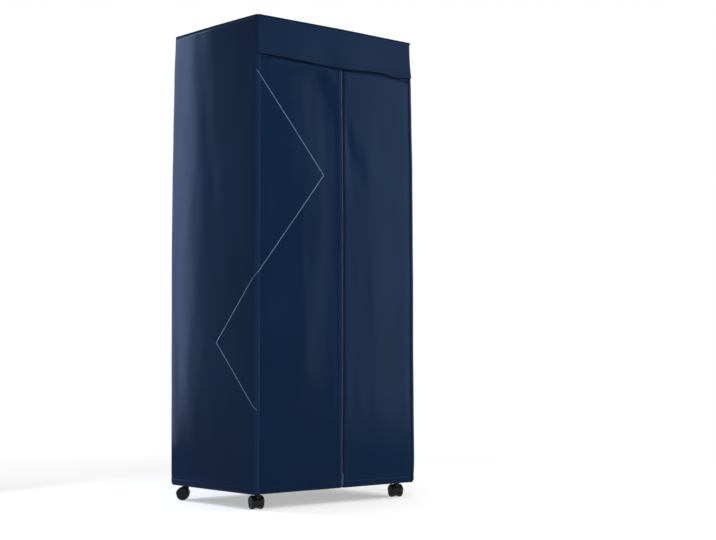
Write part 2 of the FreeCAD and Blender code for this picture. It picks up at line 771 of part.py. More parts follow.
def makeControlBoard():
    body = newHeaterBody("control_board")
    board = newSketch(body, "XZ_Plane", y=f"Sizes.BoardInset - {shellRadius}", z=panelCentre)
    drawRectangle(board, "Sizes.BoardWidth", "Sizes.BoardHeight")
    addPad(body, board, "Sizes.BoardThickness")
    boardFace = f"(Sizes.BoardInset - Sizes.BoardThickness - {shellRadius})"
    for side in (-1, 1):
        switch = newSketch(
            body,
            "XZ_Plane",
            x=f"{side} * Sizes.ButtonSpacing / 2",
            y=f"{boardFace} + Sizes.BoardThickness / 2",
            z=buttonHeight,
        )
        drawRectangle(switch, "Sizes.SwitchSize", "Sizes.SwitchSize")
        addPad(body, switch, "Sizes.SwitchDepth")


def makeMotorAndFan():
    motor = newHeaterBody("fan_motor")
    can = newSketch(motor, "XY_Plane", z="Sizes.BaseThickness")
    drawCircle(can, "Sizes.MotorDiameter / 2")
    addPad(motor, can, "Sizes.MotorHeight")
    shaft = newSketch(motor, "XY_Plane", z="Sizes.BaseThickness + Sizes.MotorHeight")
    drawCircle(shaft, "Sizes.ShaftDiameter / 2")
    addPad(motor, shaft, "Sizes.ShaftLength")

    fan = newHeaterBody("fan_impeller")
    fanBottom = "Sizes.BaseThickness + Sizes.FanRise"
    disc = newSketch(fan, "XY_Plane", z=fanBottom)
    drawCircle(disc, "Sizes.FanDiameter / 2")
    addPad(fan, disc, "Sizes.FanDisc")
    hub = newSketch(fan, "XY_Plane", z=fanBottom)
    drawCircle(hub, "Sizes.FanHub / 2")
    addPad(fan, hub, "Sizes.FanHubHeight")
    vaneLength = "(Sizes.FanDiameter / 2 - Sizes.FanHub)"
    blade = newSketch(
        fan,
        "XY_Plane",
        x=f"Sizes.FanHub / 2 + Sizes.VaneOffset + {vaneLength} / 2",
        y="Sizes.VaneOffset",
        z=f"{fanBottom} + Sizes.FanDisc",
    )
    drawRectangle(blade, vaneLength, "Sizes.VaneThickness")
    vane = addPad(fan, blade, "Sizes.VaneHeight")
    addPattern(fan, [vane], "PolarPattern", originAxis(fan, "Z_Axis"), "Sizes.VaneCount")
    bore = newSketch(fan, "XY_Plane", z=f"{fanBottom} - Sizes.CutMargin")
    drawCircle(bore, "Sizes.ShaftDiameter / 2 + Sizes.Play")
    addPocket(fan, bore, "Sizes.FanHubHeight + 2 * Sizes.CutMargin", backwards=True)


def makeHeatingElement():
    carrier = newHeaterBody("element_carrier")
    carrierBottom = "Sizes.BaseThickness + Sizes.CarrierRise"
    plate = newSketch(carrier, "XY_Plane", z=carrierBottom)
    drawCircle(plate, f"{shellRadius} - Sizes.ShellWall - Sizes.EndGap")
    addPad(carrier, plate, "Sizes.CarrierThickness")
    gap = newSketch(carrier, "XY_Plane", z=f"{carrierBottom} + Sizes.CarrierThickness")
    drawRectangle(gap, "Sizes.ElementWidth + 2 * Sizes.EndGap", "Sizes.ElementDepth + 2 * Sizes.EndGap")
    addPocket(carrier, gap, "Sizes.CarrierThickness")

    element = newHeaterBody("heating_element")
    elementBottom = "Sizes.BaseThickness + Sizes.ElementRise"
    coreWidth = "Sizes.ElementWidth - 2 * Sizes.ElementWall"
    coreDepth = "Sizes.ElementDepth - 2 * Sizes.ElementWall"
    frame = newSketch(element, "XY_Plane", z=elementBottom)
    drawRectangle(frame, "Sizes.ElementWidth", "Sizes.ElementDepth")
    addPad(element, frame, "Sizes.ElementHeight")
    core = newSketch(element, "XY_Plane", z=f"{elementBottom} + Sizes.ElementHeight")
    drawRectangle(core, coreWidth, coreDepth)
    addPocket(element, core, "Sizes.ElementHeight")
    fin = newSketch(element, "XY_Plane", y="-Sizes.FinSpan / 2", z=elementBottom)
    drawRectangle(fin, f"{coreWidth} + Sizes.CutMargin", "Sizes.FinThickness")
    plateFin = addPad(element, fin, "Sizes.ElementHeight")
    alongY = originAxis(element, "Y_Axis")
    addPattern(element, [plateFin], "LinearPattern", alongY, "Sizes.FinCount", "Sizes.FinSpan")


def makeBarClip(node, end):
    """A saddle under the base that drops over one bottom bar from above."""
    body = newHeaterBody(node)
    block = newSketch(body, "XY_Plane", y=f"{end} * Sizes.BottomBarOffset", z="-Sizes.ClipHeight")
    drawRectangle(block, "Sizes.ClipWidth", "Sizes.ClipDepth")
    addPad(body, block, "Sizes.ClipHeight")
    barBelow = "(Sizes.SaddleRise + Sizes.BarDiameter / 2)"
    mouthBottom = "(Sizes.ClipHeight + Sizes.CutMargin)"
    along = {"x": "-Sizes.ClipWidth / 2 - Sizes.CutMargin", "y": f"{end} * Sizes.BottomBarOffset"}
    saddle = newSketch(body, "YZ_Plane", z=f"-{barBelow}", **along)
    drawCircle(saddle, "Sizes.BarDiameter / 2 + Sizes.ClipGap")
    addPocket(body, saddle, "Sizes.ClipWidth + 2 * Sizes.CutMargin", backwards=True)
    mouth = newSketch(body, "YZ_Plane", z=f"-({barBelow} + {mouthBottom}) / 2", **along)
    drawRectangle(mouth, "Sizes.BarDiameter + 2 * Sizes.ClipGap", f"{mouthBottom} - {barBelow}")
    addPocket(body, mouth, "Sizes.ClipWidth + 2 * Sizes.CutMargin", backwards=True)


def makePowerInlet():
    """The socket that a mains lead plugs into, at the back of the shell."""
    body = newHeaterBody("power_inlet")
    flangeBack = f"({shellRadius} + Sizes.FitGap)"
    flangeFace = f"{flangeBack} + Sizes.InletFlangeThickness"
    case = newSketch(body, "XZ_Plane", y=flangeBack, z=inletHeight)
    drawRectangle(case, "Sizes.InletWidth", "Sizes.InletHeight")
    addPad(body, case, "Sizes.InletDepth")
    flange = newSketch(body, "XZ_Plane", y=flangeFace, z=inletHeight)
    drawRectangle(
        flange, "Sizes.InletWidth + 2 * Sizes.InletFlange", "Sizes.InletHeight + 2 * Sizes.InletFlange"
    )
    addPad(body, flange, "Sizes.InletFlangeThickness")
    recess = newSketch(body, "XZ_Plane", y=flangeFace, z=inletHeight)
    drawRectangle(recess, "Sizes.InletWidth - 2 * Sizes.InletWall", "Sizes.InletHeight - 2 * Sizes.InletWall")
    addPocket(body, recess, "Sizes.SocketRecess", backwards=True)
    for side in (-1, 1):
        prong = newSketch(
            body,
            "XZ_Plane",
            x=f"{side} * Sizes.PinSpacing / 2",
            y=f"{flangeBack} - Sizes.InletWall",
            z=inletHeight,
        )
        drawCircle(prong, "Sizes.PinDiameter / 2")
        addPad(body, prong, "Sizes.PinLength")


# ---- cover ----

coverHeight = "(Sizes.CoverTop - Sizes.Cloth - Sizes.Hem)"
backPlane = "(Sizes.CoverDepth / 2)"
sideDepth = f"(Sizes.DoorPlane + {backPlane})"
sideMiddle = f"({backPlane} - Sizes.DoorPlane) / 2"


def makeCoverTop():
    body = newBody("cover_top", z="Sizes.CoverTop - Sizes.Cloth")
    front = "(Sizes.CoverDepth / 2 - Sizes.ValanceWave - Sizes.Cloth - Sizes.HingeGap)"
    panel = newSketch(body, "XY_Plane", y=f"({backPlane} - {front}) / 2")
    drawRectangle(panel, "Sizes.CoverWidth", f"{backPlane} + {front}")
    addPad(body, panel, "Sizes.Cloth")
    addFillet(body, "Sizes.CornerRound", isUpright)


def makeCoverBack():
    body = newBody("cover_back", z="Sizes.Hem")
    panel = newSketch(body, "XY_Plane", y=f"{backPlane} - Sizes.Cloth / 2")
    drawRectangle(panel, "2 * (Sizes.DoorHinge - Sizes.CornerGap)", "Sizes.Cloth")
    addPad(body, panel, f"{coverHeight} - Sizes.SewnGap")


def makeCoverSide(side):
    """A side panel with the two rounded corners, which end where the back and a door begin."""
    body = newBody(f"cover_{sideNames[side]}_side", z="Sizes.Hem")
    lip = "(Sizes.CoverWidth / 2 - Sizes.DoorHinge - Sizes.CornerGap)"
    slab = newSketch(body, "XY_Plane", x=f"{side} * (Sizes.CoverWidth / 2 - {lip} / 2)", y=sideMiddle)
    drawRectangle(slab, lip, sideDepth)
    addPad(body, slab, f"{coverHeight} - Sizes.SewnGap")
    hollow = newSketch(
        body,
        "XY_Plane",
        x=f"{side} * (Sizes.CoverWidth / 2 - Sizes.Cloth - {lip})",
        y=sideMiddle,
        z=coverHeight,
    )
    drawRectangle(hollow, f"2 * {lip}", f"{sideDepth} - 2 * Sizes.Cloth")
    addPocket(body, hollow, coverHeight)
    # the inner corners are rounded before the outer ones, which are too round for square inner corners
    for face, radius in (
        ("Sizes.CoverWidth / 2 - Sizes.Cloth", "Sizes.CornerRound - Sizes.Cloth"),
        ("Sizes.CoverWidth / 2", "Sizes.CornerRound"),
    ):
        cornerX = read(face)
        addFillet(
            body,
            radius,
            lambda edge: isUpright(edge) and abs(abs(edge.Vertexes[0].X) - cornerX) < 1e-6,
        )


def makeHeader():
    """The fixed strip across the front, behind the valance, that closes the gap above the doors."""
    body = newBody("cover_header", z="Sizes.HeaderBottom")
    strip = newSketch(body, "XY_Plane", y="-Sizes.HeaderPlane + Sizes.Cloth / 2")
    drawRectangle(strip, "2 * (Sizes.DoorHinge + Sizes.CutMargin)", "Sizes.Cloth")
    addPad(body, strip, "Sizes.CoverTop - Sizes.Cloth - Sizes.SewnGap - Sizes.HeaderBottom")


def foldedEdge(start, end, front, height, waves, depth):
    """A level row of shallow arcs that bow back and forward in turn, from x = start to x = end."""
    edges = []
    for i in range(waves):
        first = start + (end - start) * i / waves
        last = start + (end - start) * (i + 1) / waves
        bow = -depth if i % 2 == 0 else depth
        crest = Vector((first + last) / 2, front - bow, height)
        sides = Vector(first, front, height), Vector(last, front, height)
        row = Part.Arc(sides[0], crest, sides[1]) if depth else Part.LineSegment(*sides)
        edges.append(row.toShape())
    return edges


def foldedSheet(start, end, front, sections, waves):
    """A hanging cloth of one thickness, lofted through level rows of folds: pairs of a height and the folds'
    depth there."""
    cloth = read("Sizes.Cloth")
    rings = []
    for height, depth in sections:
        outer = foldedEdge(start, end, front, height, waves, depth)
        inner = foldedEdge(start, end, front + cloth, height, waves, depth)
        hems = [
            Part.LineSegment(Vector(x, front, height), Vector(x, front + cloth, height)).toShape()
            for x in (start, end)
        ]
        rings.append(Part.Wire(Part.__sortEdges__(outer + inner + hems)))
    return Part.makeLoft(rings, True, len(rings) == 2)


def addCloth(node, shape):
    feature = doc.addObject("Part::Feature", node)
    feature.Label = node
    feature.Shape = shape
    feature.Placement = Placement(Vector(0, 0, 0), Rotation())
    subParts.append(feature)


def makeDoors():
    """The two cloth doors, all but flat at the valance and at the hem, with shallow upright folds between.
    They meet at the zip, a little to the right of the middle."""
    front = -read("Sizes.DoorPlane")
    hem = read("Sizes.Hem + Sizes.DoorRise")
    top = read("Sizes.DoorTop")
    fold = read("Sizes.DoorFold")
    hinge = read("Sizes.DoorHinge")
    leftEdge = read("Sizes.ZipOffset - Sizes.ChainWidth / 2 - Sizes.SewnGap")
    rightEdge = read("Sizes.ZipOffset + Sizes.ChainWidth / 2 + Sizes.ZipGap")
    middle = (top + hem) / 2
    sections = [(top, fold * 0.02), (middle, fold), (hem, fold * 0.2)]
    addCloth("left_door", foldedSheet(-hinge, leftEdge, front, sections, 3))
    addCloth("right_door", foldedSheet(rightEdge, hinge, front, sections, 3))


def makeValance():
    """The flap that hangs from the top front edge: straight where it is sewn, gently waved along its hem, and
    a little longer in the middle than at its ends."""
    wave = read("Sizes.ValanceWave")
    front = -read("Sizes.CoverDepth / 2") + wave
    top = read("Sizes.CoverTop")
    half = read("Sizes.CoverWidth / 2 - Sizes.DoorRise")
    bottom = top - read("Sizes.ValanceMiddle")
    ends = top - read("Sizes.ValanceSides")
    flap = foldedSheet(-half, half, front, [(top, 0), (bottom, wave)], 6)
    # what hangs below the hem line is cut away: an arc from end to end, then a box under it
    reach = 10 * wave
    ahead = front - reach
    leftEnd = Vector(-half, ahead, ends)
    rightEnd = Vector(half, ahead, ends)
    hemLine = Part.Arc(leftEnd, Vector(0, ahead, bottom), rightEnd)
    below = [rightEnd, Vector(half, ahead, bottom - reach), Vector(-half, ahead, bottom - reach), leftEnd]
    sides = [Part.LineSegment(first, last).toShape() for first, last in zip(below, below[1:])]
    waste = Part.Face(Part.Wire([hemLine.toShape()] + sides)).extrude(Vector(0, 2 * reach, 0))
    addCloth("valance", flap.cut(waste))


def makeZip():
    chain = newBody("zip_chain", x="Sizes.ZipOffset", z="Sizes.Hem + Sizes.ChainRise")
    strip = newSketch(chain, "XY_Plane", y="-Sizes.DoorPlane + Sizes.Cloth / 2")
    drawRectangle(strip, "Sizes.ChainWidth", "Sizes.ChainThickness")
    addPad(chain, strip, "Sizes.DoorTop - Sizes.Hem - Sizes.ChainRise - Sizes.CutMargin")

    # the slider: a front and a back plate joined along the right of the chain, with a bridge for the pull
    slider = newBody("zip_slider", x="Sizes.ZipOffset", z="Sizes.SliderBottom")
    chainFront = "(Sizes.DoorPlane - Sizes.Cloth / 2 + Sizes.ChainThickness / 2)"
    chainBack = f"({chainFront} - Sizes.ChainThickness)"
    wallX = "(Sizes.ChainWidth / 2 + Sizes.SliderGap)"
    plateX = f"({wallX} + Sizes.SliderWall - Sizes.SliderWidth / 2)"
    frontPlate = newSketch(
        slider, "XY_Plane", x=plateX, y=f"-{chainFront} - Sizes.SliderGap - Sizes.SliderPlate / 2"
    )
    drawRectangle(frontPlate, "Sizes.SliderWidth", "Sizes.SliderPlate")
    addPad(slider, frontPlate, "Sizes.SliderHeight")
    backPlate = newSketch(
        slider, "XY_Plane", x=plateX, y=f"-{chainBack} + Sizes.SliderGap + Sizes.SliderBack / 2"
    )
    drawRectangle(backPlate, "Sizes.SliderWidth", "Sizes.SliderBack")
    addPad(slider, backPlate, "Sizes.SliderHeight")
    wall = newSketch(
        slider, "XY_Plane", x=f"{wallX} + Sizes.SliderWall / 2", y=f"-({chainFront} + {chainBack}) / 2"
    )
    drawRectangle(wall, "Sizes.SliderWall", "Sizes.ChainThickness + 2 * Sizes.SliderGap + Sizes.SliderBack")
    addPad(slider, wall, "Sizes.SliderHeight")
    plateFace = f"({chainFront} + Sizes.SliderGap + Sizes.SliderPlate)"
    pinY = f"-{plateFace} - Sizes.EyeDepth / 2"
    bridge = newSketch(
        slider,
        "YZ_Plane",
        x="-Sizes.BridgeWidth / 2",
        y=f"-{plateFace} - Sizes.BridgeDepth / 2 + Sizes.FitGap / 2",
        z="Sizes.SliderHeight / 2",
    )
    drawRectangle(bridge, "Sizes.BridgeDepth + Sizes.FitGap", "Sizes.BridgeHeight")
    addPad(slider, bridge, "Sizes.BridgeWidth")
    eye = newSketch(slider, "YZ_Plane", x="-Sizes.BridgeWidth", y=pinY, z="Sizes.SliderHeight / 2")
    drawRectangle(eye, "Sizes.EyeDepth", "Sizes.EyeHeight")
    addPocket(slider, eye, "2 * Sizes.BridgeWidth", backwards=True)

    # the pull: a cross pin inside the bridge, two legs either side of it and the tab below
    pinHeight = "Sizes.SliderBottom + Sizes.SliderHeight / 2 + Sizes.EyeHeight / 3"
    pull = newBody("zip_pull", x="Sizes.ZipOffset", z=pinHeight)
    pin = newSketch(pull, "YZ_Plane", x="-Sizes.PullWidth / 2", y=pinY)
    drawCircle(pin, "Sizes.PullPin / 2")
    addPad(pull, pin, "Sizes.PullWidth")
    for side in (-1, 1):
        legX = f"{side} * (Sizes.PullWidth - Sizes.PullLeg) / 2"
        leg = newSketch(pull, "XY_Plane", x=legX, y=pinY, z="-Sizes.PullLegLength")
        drawRectangle(leg, "Sizes.PullLeg", "Sizes.PullThickness")
        addPad(pull, leg, "Sizes.PullLegLength")
    tab = newSketch(pull, "XY_Plane", y=pinY, z="-Sizes.PullLength")
    drawRectangle(tab, "Sizes.PullWidth", "Sizes.PullThickness")
    addPad(pull, tab, "Sizes.PullLength - Sizes.PullLegLength + Sizes.EndGap")


for level in range(len(levelNames)):
    for side in sideNames:
        makeBracket(level, side)
    makeBars(level)
for end in endNames:
    for side in sideNames:
        makePost(end, side)
        makeCaster(end, side)
makeStems()
makeHeaterShell()
makeHeaterBase()
makeGrille()
makeCap()
makeControlPanel()
makeWindow()
makeButton("power_button", -1)
makeButton("timer_button", 1)
makeControlBoard()
makeMotorAndFan()
makeHeatingElement()
makeBarClip("front_bar_clip", -1)
makeBarClip("rear_bar_clip", 1)
makePowerInlet()
makeCoverTop()
makeCoverBack()
for side in sideNames:
    makeCoverSide(side)
makeHeader()
makeDoors()
makeValance()
makeZip()

doc.recompute()
for thing in doc.Objects:
    if "Invalid" in thing.State or "Error" in thing.State:
        owner = thing.getParentGeoFeatureGroup()
        ownerName = owner.Label if owner else "the document"
        raise RuntimeError(f"{thing.Label} of {ownerName} failed: {thing.State}")
for part in subParts:
    if part.Shape.isNull() or not part.Shape.isValid():
        raise RuntimeError(f"{part.Label} has no valid shape")

os.makedirs("parts", exist_ok=True)
for part in subParts:
    part.Shape.exportStep(f"parts/{part.Label}.step")
print(len(subParts), "sub-parts")
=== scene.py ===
import json
import math

import bpy
import numpy as np
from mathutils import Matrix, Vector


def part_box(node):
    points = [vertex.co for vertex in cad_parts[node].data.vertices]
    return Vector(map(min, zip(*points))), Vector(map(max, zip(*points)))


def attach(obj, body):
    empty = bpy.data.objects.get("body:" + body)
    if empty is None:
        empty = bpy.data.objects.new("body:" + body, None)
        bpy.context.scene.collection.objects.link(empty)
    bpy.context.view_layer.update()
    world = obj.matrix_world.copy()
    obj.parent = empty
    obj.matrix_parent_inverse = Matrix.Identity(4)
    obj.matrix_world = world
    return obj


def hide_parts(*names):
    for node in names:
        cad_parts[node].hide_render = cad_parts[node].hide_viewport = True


# A clothes drying cabinet: a chromed tube frame on four twin-wheel casters, with a round fan heater inside,
# under a navy cloth cover that is zipped shut. Metres, in the part's own frame: +Z up, the doors face -Y.

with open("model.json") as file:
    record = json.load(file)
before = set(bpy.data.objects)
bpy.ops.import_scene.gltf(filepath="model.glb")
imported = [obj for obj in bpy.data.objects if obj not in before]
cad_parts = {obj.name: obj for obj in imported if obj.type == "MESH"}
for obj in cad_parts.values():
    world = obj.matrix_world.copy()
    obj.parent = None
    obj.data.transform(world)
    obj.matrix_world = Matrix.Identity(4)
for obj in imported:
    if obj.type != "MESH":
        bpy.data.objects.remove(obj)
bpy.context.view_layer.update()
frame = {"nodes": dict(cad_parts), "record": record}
nodes = frame["nodes"]
print("frame loaded:", len(nodes), "nodes")

mm = 0.001
tau = 2 * math.pi
waveLine = 0.314  # metres from line to line in a wave texture of scale 1
plasticGrain = 0.7 * mm


def linearColour(code):
    # an sRGB hex colour as the linear values that a socket takes
    values = np.array([int(code[i:i + 2], 16) for i in (0, 2, 4)]) / 255
    linear = np.where(values <= 0.04045, values / 12.92, ((values + 0.055) / 1.055) ** 2.4)
    return (*linear.tolist(), 1.0)


def addNode(owner, kind, settings=None, links=None):
    # settings are the node's own properties or its inputs' values; links are input: (node, output)
    node = owner.node_tree.nodes.new(kind)
    for key, value in (settings or {}).items():
        if isinstance(key, str) and hasattr(node, key):
            setattr(node, key, value)
        else:
            node.inputs[key].default_value = value
    for key, (source, output) in (links or {}).items():
        owner.node_tree.links.new(source.outputs[output], node.inputs[key])
    return node


def addMath(owner, operation, *terms):
    # a term is a number or a (node, output) pair; like the next functions it returns such a pair
    numbers = {i: term for i, term in enumerate(terms) if not isinstance(term, tuple)}
    pairs = {i: term for i, term in enumerate(terms) if isinstance(term, tuple)}
    return addNode(owner, "ShaderNodeMath", {"operation": operation, **numbers}, pairs), "Value"


def addTexture(material, kind, settings, output="Fac"):
    # a texture over the object's own coordinates, in metres
    place = addNode(material, "ShaderNodeTexCoord")
    return addNode(material, f"ShaderNodeTex{kind}", settings, {"Vector": (place, "Object")}), output


def addRamp(material, source, stops):
    # colours along a value, as position: hex colour
    ramp = addNode(material, "ShaderNodeValToRGB", links={"Fac": source})
    elements = ramp.color_ramp.elements
    while len(elements) < len(stops):
        elements.new(1.0)
    for element, (position, code) in zip(elements, stops.items()):
        element.position = position
        element.color = linearColour(code)
    return ramp, "Color"


def addRange(material, source, low, high, atLow, atHigh):
    # from low to high, the source's value becomes one from atLow to atHigh
    return addNode(material, "ShaderNodeMapRange", {
        "From Min": low, "From Max": high, "To Min": atLow, "To Max": atHigh,
    }, {"Value": source}), "Result"


def addBump(material, source, strength, distance, under=None):
    # the normals of a relief, over those of another one where under is given
    links = {"Height": source, **({"Normal": under} if under else {})}
    return addNode(material, "ShaderNodeBump", {"Strength": strength, "Distance": distance}, links), "Normal"


def newMaterial(name, settings):
    # a Principled material with these constants on its own sockets, and its shader
    material = bpy.data.materials.new(name)
    material.use_nodes = True
    shader = material.node_tree.nodes["Principled BSDF"]
    for key, value in settings.items():
        shader.inputs[key].default_value = value
    return material, shader


def joinSockets(source, shader, socket):
    node, output = source
    shader.id_data.links.new(node.outputs[output], shader.inputs[socket])


def smoothStep(values, low, high):
    # 0 below low, 1 above high, and 3t^2 - 2t^3 between them
    t = np.clip((values - low) / (high - low), 0, 1)
    return t * t * (3 - 2 * t)


def easedTable(table, values):
    # the table's numbers at these places, with a smooth step from each entry to the next
    known = np.array(list(table.items()))
    cell = np.clip(np.searchsorted(known[:, 0], values) - 1, 0, len(known) - 2)
    t = smoothStep(values, known[cell, 0], known[cell + 1, 0])
    return known[cell, 1] + t * (known[cell + 1, 1] - known[cell, 1])


def meshPiece(name, points, faces, uvs=None, smooth=True):
    # an object at the origin with these vertices and faces, and a UV map where uvs has a pair per vertex
    mesh = bpy.data.meshes.new(name)
    mesh.from_pydata(points.reshape(-1, 3).tolist(), [], faces)
    if uvs is not None:
        layer = mesh.uv_layers.new(name="cloth")
        corners = np.empty(len(mesh.loops), np.int32)
        mesh.loops.foreach_get("vertex_index", corners)
        layer.data.foreach_set("uv", uvs.reshape(-1, 2)[corners].astype(np.float32).ravel())
    if smooth:
        mesh.shade_smooth()
    mesh.update()
    piece = bpy.data.objects.new(name, mesh)
    bpy.context.scene.collection.objects.link(piece)
    return piece


def gridFaces(rows, columns, wrapRows=False, wrapColumns=False, start=0):
    # each quad joins a point to its neighbours in the next column and the next row
    index = np.arange(rows * columns).reshape(rows, columns) + start
    if wrapRows:
        index = np.vstack([index, index[:1]])
    if wrapColumns:
        index = np.hstack([index, index[:, :1]])
    quads = np.stack([index[:-1, :-1], index[:-1, 1:], index[1:, 1:], index[1:, :-1]], axis=-1)
    return quads.reshape(-1, 4).tolist()


def turnedOver(faces):
    return [face[::-1] for face in faces]


def circlesAround(directions, sides):
    # for each unit direction the points of a unit circle square to it
    steep = np.abs(directions[:, 2:3]) > 0.9
    side = np.cross(directions, np.where(steep, [[1.0, 0.0, 0.0]], [[0.0, 0.0, 1.0]]))
    side /= np.linalg.norm(side, axis=1, keepdims=True)
    over = np.cross(side, directions)
    turn = np.linspace(0, tau, sides, endpoint=False)[None, :, None]
    return np.cos(turn) * side[:, None] + np.sin(turn) * over[:, None]


def tubePiece(name, path, radius, sides, closed=False):
    # a round tube: each path point carries a circle square to the path
    ahead = np.roll(path, -1, axis=0)
    behind = np.roll(path, 1, axis=0)
    if not closed:
        ahead[-1] = path[-1]
        behind[0] = path[0]
    tangent = ahead - behind
    tangent /= np.linalg.norm(tangent, axis=1, keepdims=True)
    points = path[:, None] + circlesAround(tangent, sides) * radius
    faces = gridFaces(len(path), sides, wrapRows=closed, wrapColumns=True)
    if not closed:
        faces.append(list(range(sides))[::-1])
        faces.append([(len(path) - 1) * sides + i for i in range(sides)])
    return meshPiece(name, points, turnedOver(faces))


def thicken(piece, thickness):
    wall = piece.modifiers.new("thickness", "SOLIDIFY")
    wall.thickness = thickness
    wall.offset = -1.0


def dress(piece, body, slot, material, *replaced):
    # the finish of a new piece, the CAD body that it moves with and the nodes that it stands for
    piece.data.materials.append(material)
    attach(piece, body)
    if replaced:
        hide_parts(*replaced)


def coatedPolyester():
    # Satin polyester with a water-repellent coating: tight and smooth, with a soft wide gloss along its folds
    finish = {
        "dark": "0a1a2e",
        "plain": "0c1c31",
        "worn": "0e1f35",
        # the colour of the painted highlight on the rounded front corners
        "cornerHighlight": "15243b",
        "threadPitch": 1.2 * mm,  # real threads are about 0.2 mm; drawn coarser, or they would not show
        "blotch": 0.35,
        "creaseShape": (1.0, 1.0, 0.33),
    }
    material, shader = newMaterial("satinCoatedPolyester", {
        "Roughness": 0.11,
        "IOR": 1.36,
        "Specular IOR Level": 0.04,
        "Specular Tint": linearColour("89bcff"),
    })
    slow = addTexture(material, "Noise", {"Scale": 1 / finish["blotch"], "Detail": 3.0, "Roughness": 0.45})
    tint = addRamp(material, slow, {0.30: finish["dark"], 0.52: finish["plain"], 0.78: finish["worn"]})
    # painted highlight: paler where the rounded front corners catch the light
    paintedCornerHighlight = addNode(material, "ShaderNodeAttribute", {"attribute_name": "paintedCornerHighlight"})
    pale = addNode(material, "ShaderNodeMix", {"data_type": "RGBA", 7: linearColour(finish["cornerHighlight"])}, {
        0: (paintedCornerHighlight, "Fac"), 6: tint,
    })
    joinSockets((pale, 2), shader, "Base Color")
    # the gloss is a little uneven where the coating is thinner
    patches = addTexture(material, "Noise", {"Scale": 9.0, "Detail": 4.0})
    joinSockets(addRange(material, patches, 0.3, 0.7, 0.10, 0.12), shader, "Roughness")
    # warp and weft: a sine across each way of the cloth's own flat coordinates
    place = addNode(material, "ShaderNodeTexCoord")
    flat = addNode(material, "ShaderNodeSeparateXYZ", links={"Vector": (place, "UV")})
    warp, weft = [
        addMath(material, "SINE", addMath(material, "MULTIPLY", (flat, axis), tau / finish["threadPitch"]))
        for axis in ("X", "Y")
    ]
    threads = addBump(material, addMath(material, "MULTIPLY", warp, weft), 0.10, 0.12 * mm)
    # shallow hanging creases, three times as long as they are wide
    stretch = addNode(material, "ShaderNodeMapping", {"Scale": finish["creaseShape"]}, {
        "Vector": (place, "Object"),
    })
    creases = addNode(material, "ShaderNodeTexNoise", {"Scale": 6.0, "Detail": 1.0, "Roughness": 0.4}, {
        "Vector": (stretch, "Vector"),
    })
    soft = addBump(material, (creases, "Fac"), 0.1, 1.0 * mm, under=threads)
    joinSockets(soft, shader, "Normal")
    return material


def sewingThread():
    # Bonded polyester thread: twisted, a little glossier than the cloth
    material, shader = newMaterial("bondedPolyesterThread", {
        "Roughness": 0.45, "IOR": 1.45, "Specular IOR Level": 0.15,
    })
    twist = addTexture(material, "Wave", {
        "bands_direction": "DIAGONAL", "Scale": waveLine / (0.8 * mm), "Distortion": 0.0,
    })
    joinSockets(addRamp(material, twist, {0.0: "0c1a33", 1.0: "1c2e4c"}), shader, "Base Color")
    return material


def bindingTape():
    # Woven polyester binding, ribbed across and duller than the cloth
    material, shader = newMaterial("wovenBindingTape", {
        "Roughness": 0.7, "IOR": 1.36, "Specular IOR Level": 0.1,
    })
    ribs = addTexture(material, "Wave", {
        "bands_direction": "DIAGONAL", "Scale": waveLine / (1.1 * mm), "Distortion": 0.4,
    })
    joinSockets(addRamp(material, ribs, {0.0: "08101f", 1.0: "0f1c34"}), shader, "Base Color")
    joinSockets(addBump(material, ribs, 0.3, 0.2 * mm), shader, "Normal")
    return material


def silverPrint():
    # Screen-printed silver ink: thin, slightly metallic, with the weave showing through as small breaks
    material, shader = newMaterial("silverScreenPrint", {
        "Roughness": 0.4, "Metallic": 0.25, "IOR": 1.45, "Specular IOR Level": 0.1,
    })
    breaks = addTexture(material, "Noise", {"Scale": 900.0, "Detail": 2.0})
    joinSockets(addRamp(material, breaks, {0.25: "36465e", 0.6: "56677e"}), shader, "Base Color")
    return material


def nylonCoil():
    # Nylon monofilament wound into a zip's coil: grey-blue, smooth and a little glossy
    material, shader = newMaterial("nylonZipCoil", {
        "Roughness": 0.4, "IOR": 1.53, "Specular IOR Level": 0.15,
    })
    shade = addTexture(material, "Noise", {"Scale": 60.0, "Detail": 2.0})
    joinSockets(addRamp(material, shade, {0.3: "24374a", 0.7: "37495c"}), shader, "Base Color")
    return material


def zipTape():
    # Herringbone-woven zip tape, matt and dark
    weave = {"zigzag": 1.5 * mm, "pitch": 1.2 * mm}
    material, shader = newMaterial("wovenZipTape", {
        "Roughness": 0.8, "IOR": 1.36, "Specular IOR Level": 0.1,
    })
    place = addNode(material, "ShaderNodeTexCoord")
    flat = addNode(material, "ShaderNodeSeparateXYZ", links={"Vector": (place, "Object")})
    across = addMath(material, "PINGPONG", (flat, "X"), weave["zigzag"])
    chevron = addMath(material, "ADD", across, (flat, "Z"))
    ribs = addMath(material, "SINE", addMath(material, "MULTIPLY", chevron, tau / weave["pitch"]))
    shade = addRange(material, ribs, -1.0, 1.0, 0.0, 1.0)
    joinSockets(addRamp(material, shade, {0.0: "0a1322", 1.0: "142138"}), shader, "Base Color")
    joinSockets(addBump(material, ribs, 0.25, 0.15 * mm), shader, "Normal")
    return material


def mouldedPlastic(name, colours, roughness, relief=0.06 * mm, settings=None):
    # Injection-moulded plastic with a fine even grain, in a dark, a plain and a worn colour
    material, shader = newMaterial(name, {"Roughness": roughness, "IOR": 1.46, **(settings or {})})
    shade = addTexture(material, "Noise", {"Scale": 14.0, "Detail": 5.0, "Roughness": 0.6})
    tint = addRamp(material, shade, dict(zip((0.25, 0.5, 0.8), colours)))
    joinSockets(tint, shader, "Base Color")
    handled = addRange(material, shade, 0.3, 0.75, roughness + 0.05, roughness - 0.06)
    joinSockets(handled, shader, "Roughness")
    pits = addTexture(material, "Noise", {"Scale": 1 / plasticGrain, "Detail": 1.0})
    joinSockets(addBump(material, pits, 0.5, relief), shader, "Normal")
    return material


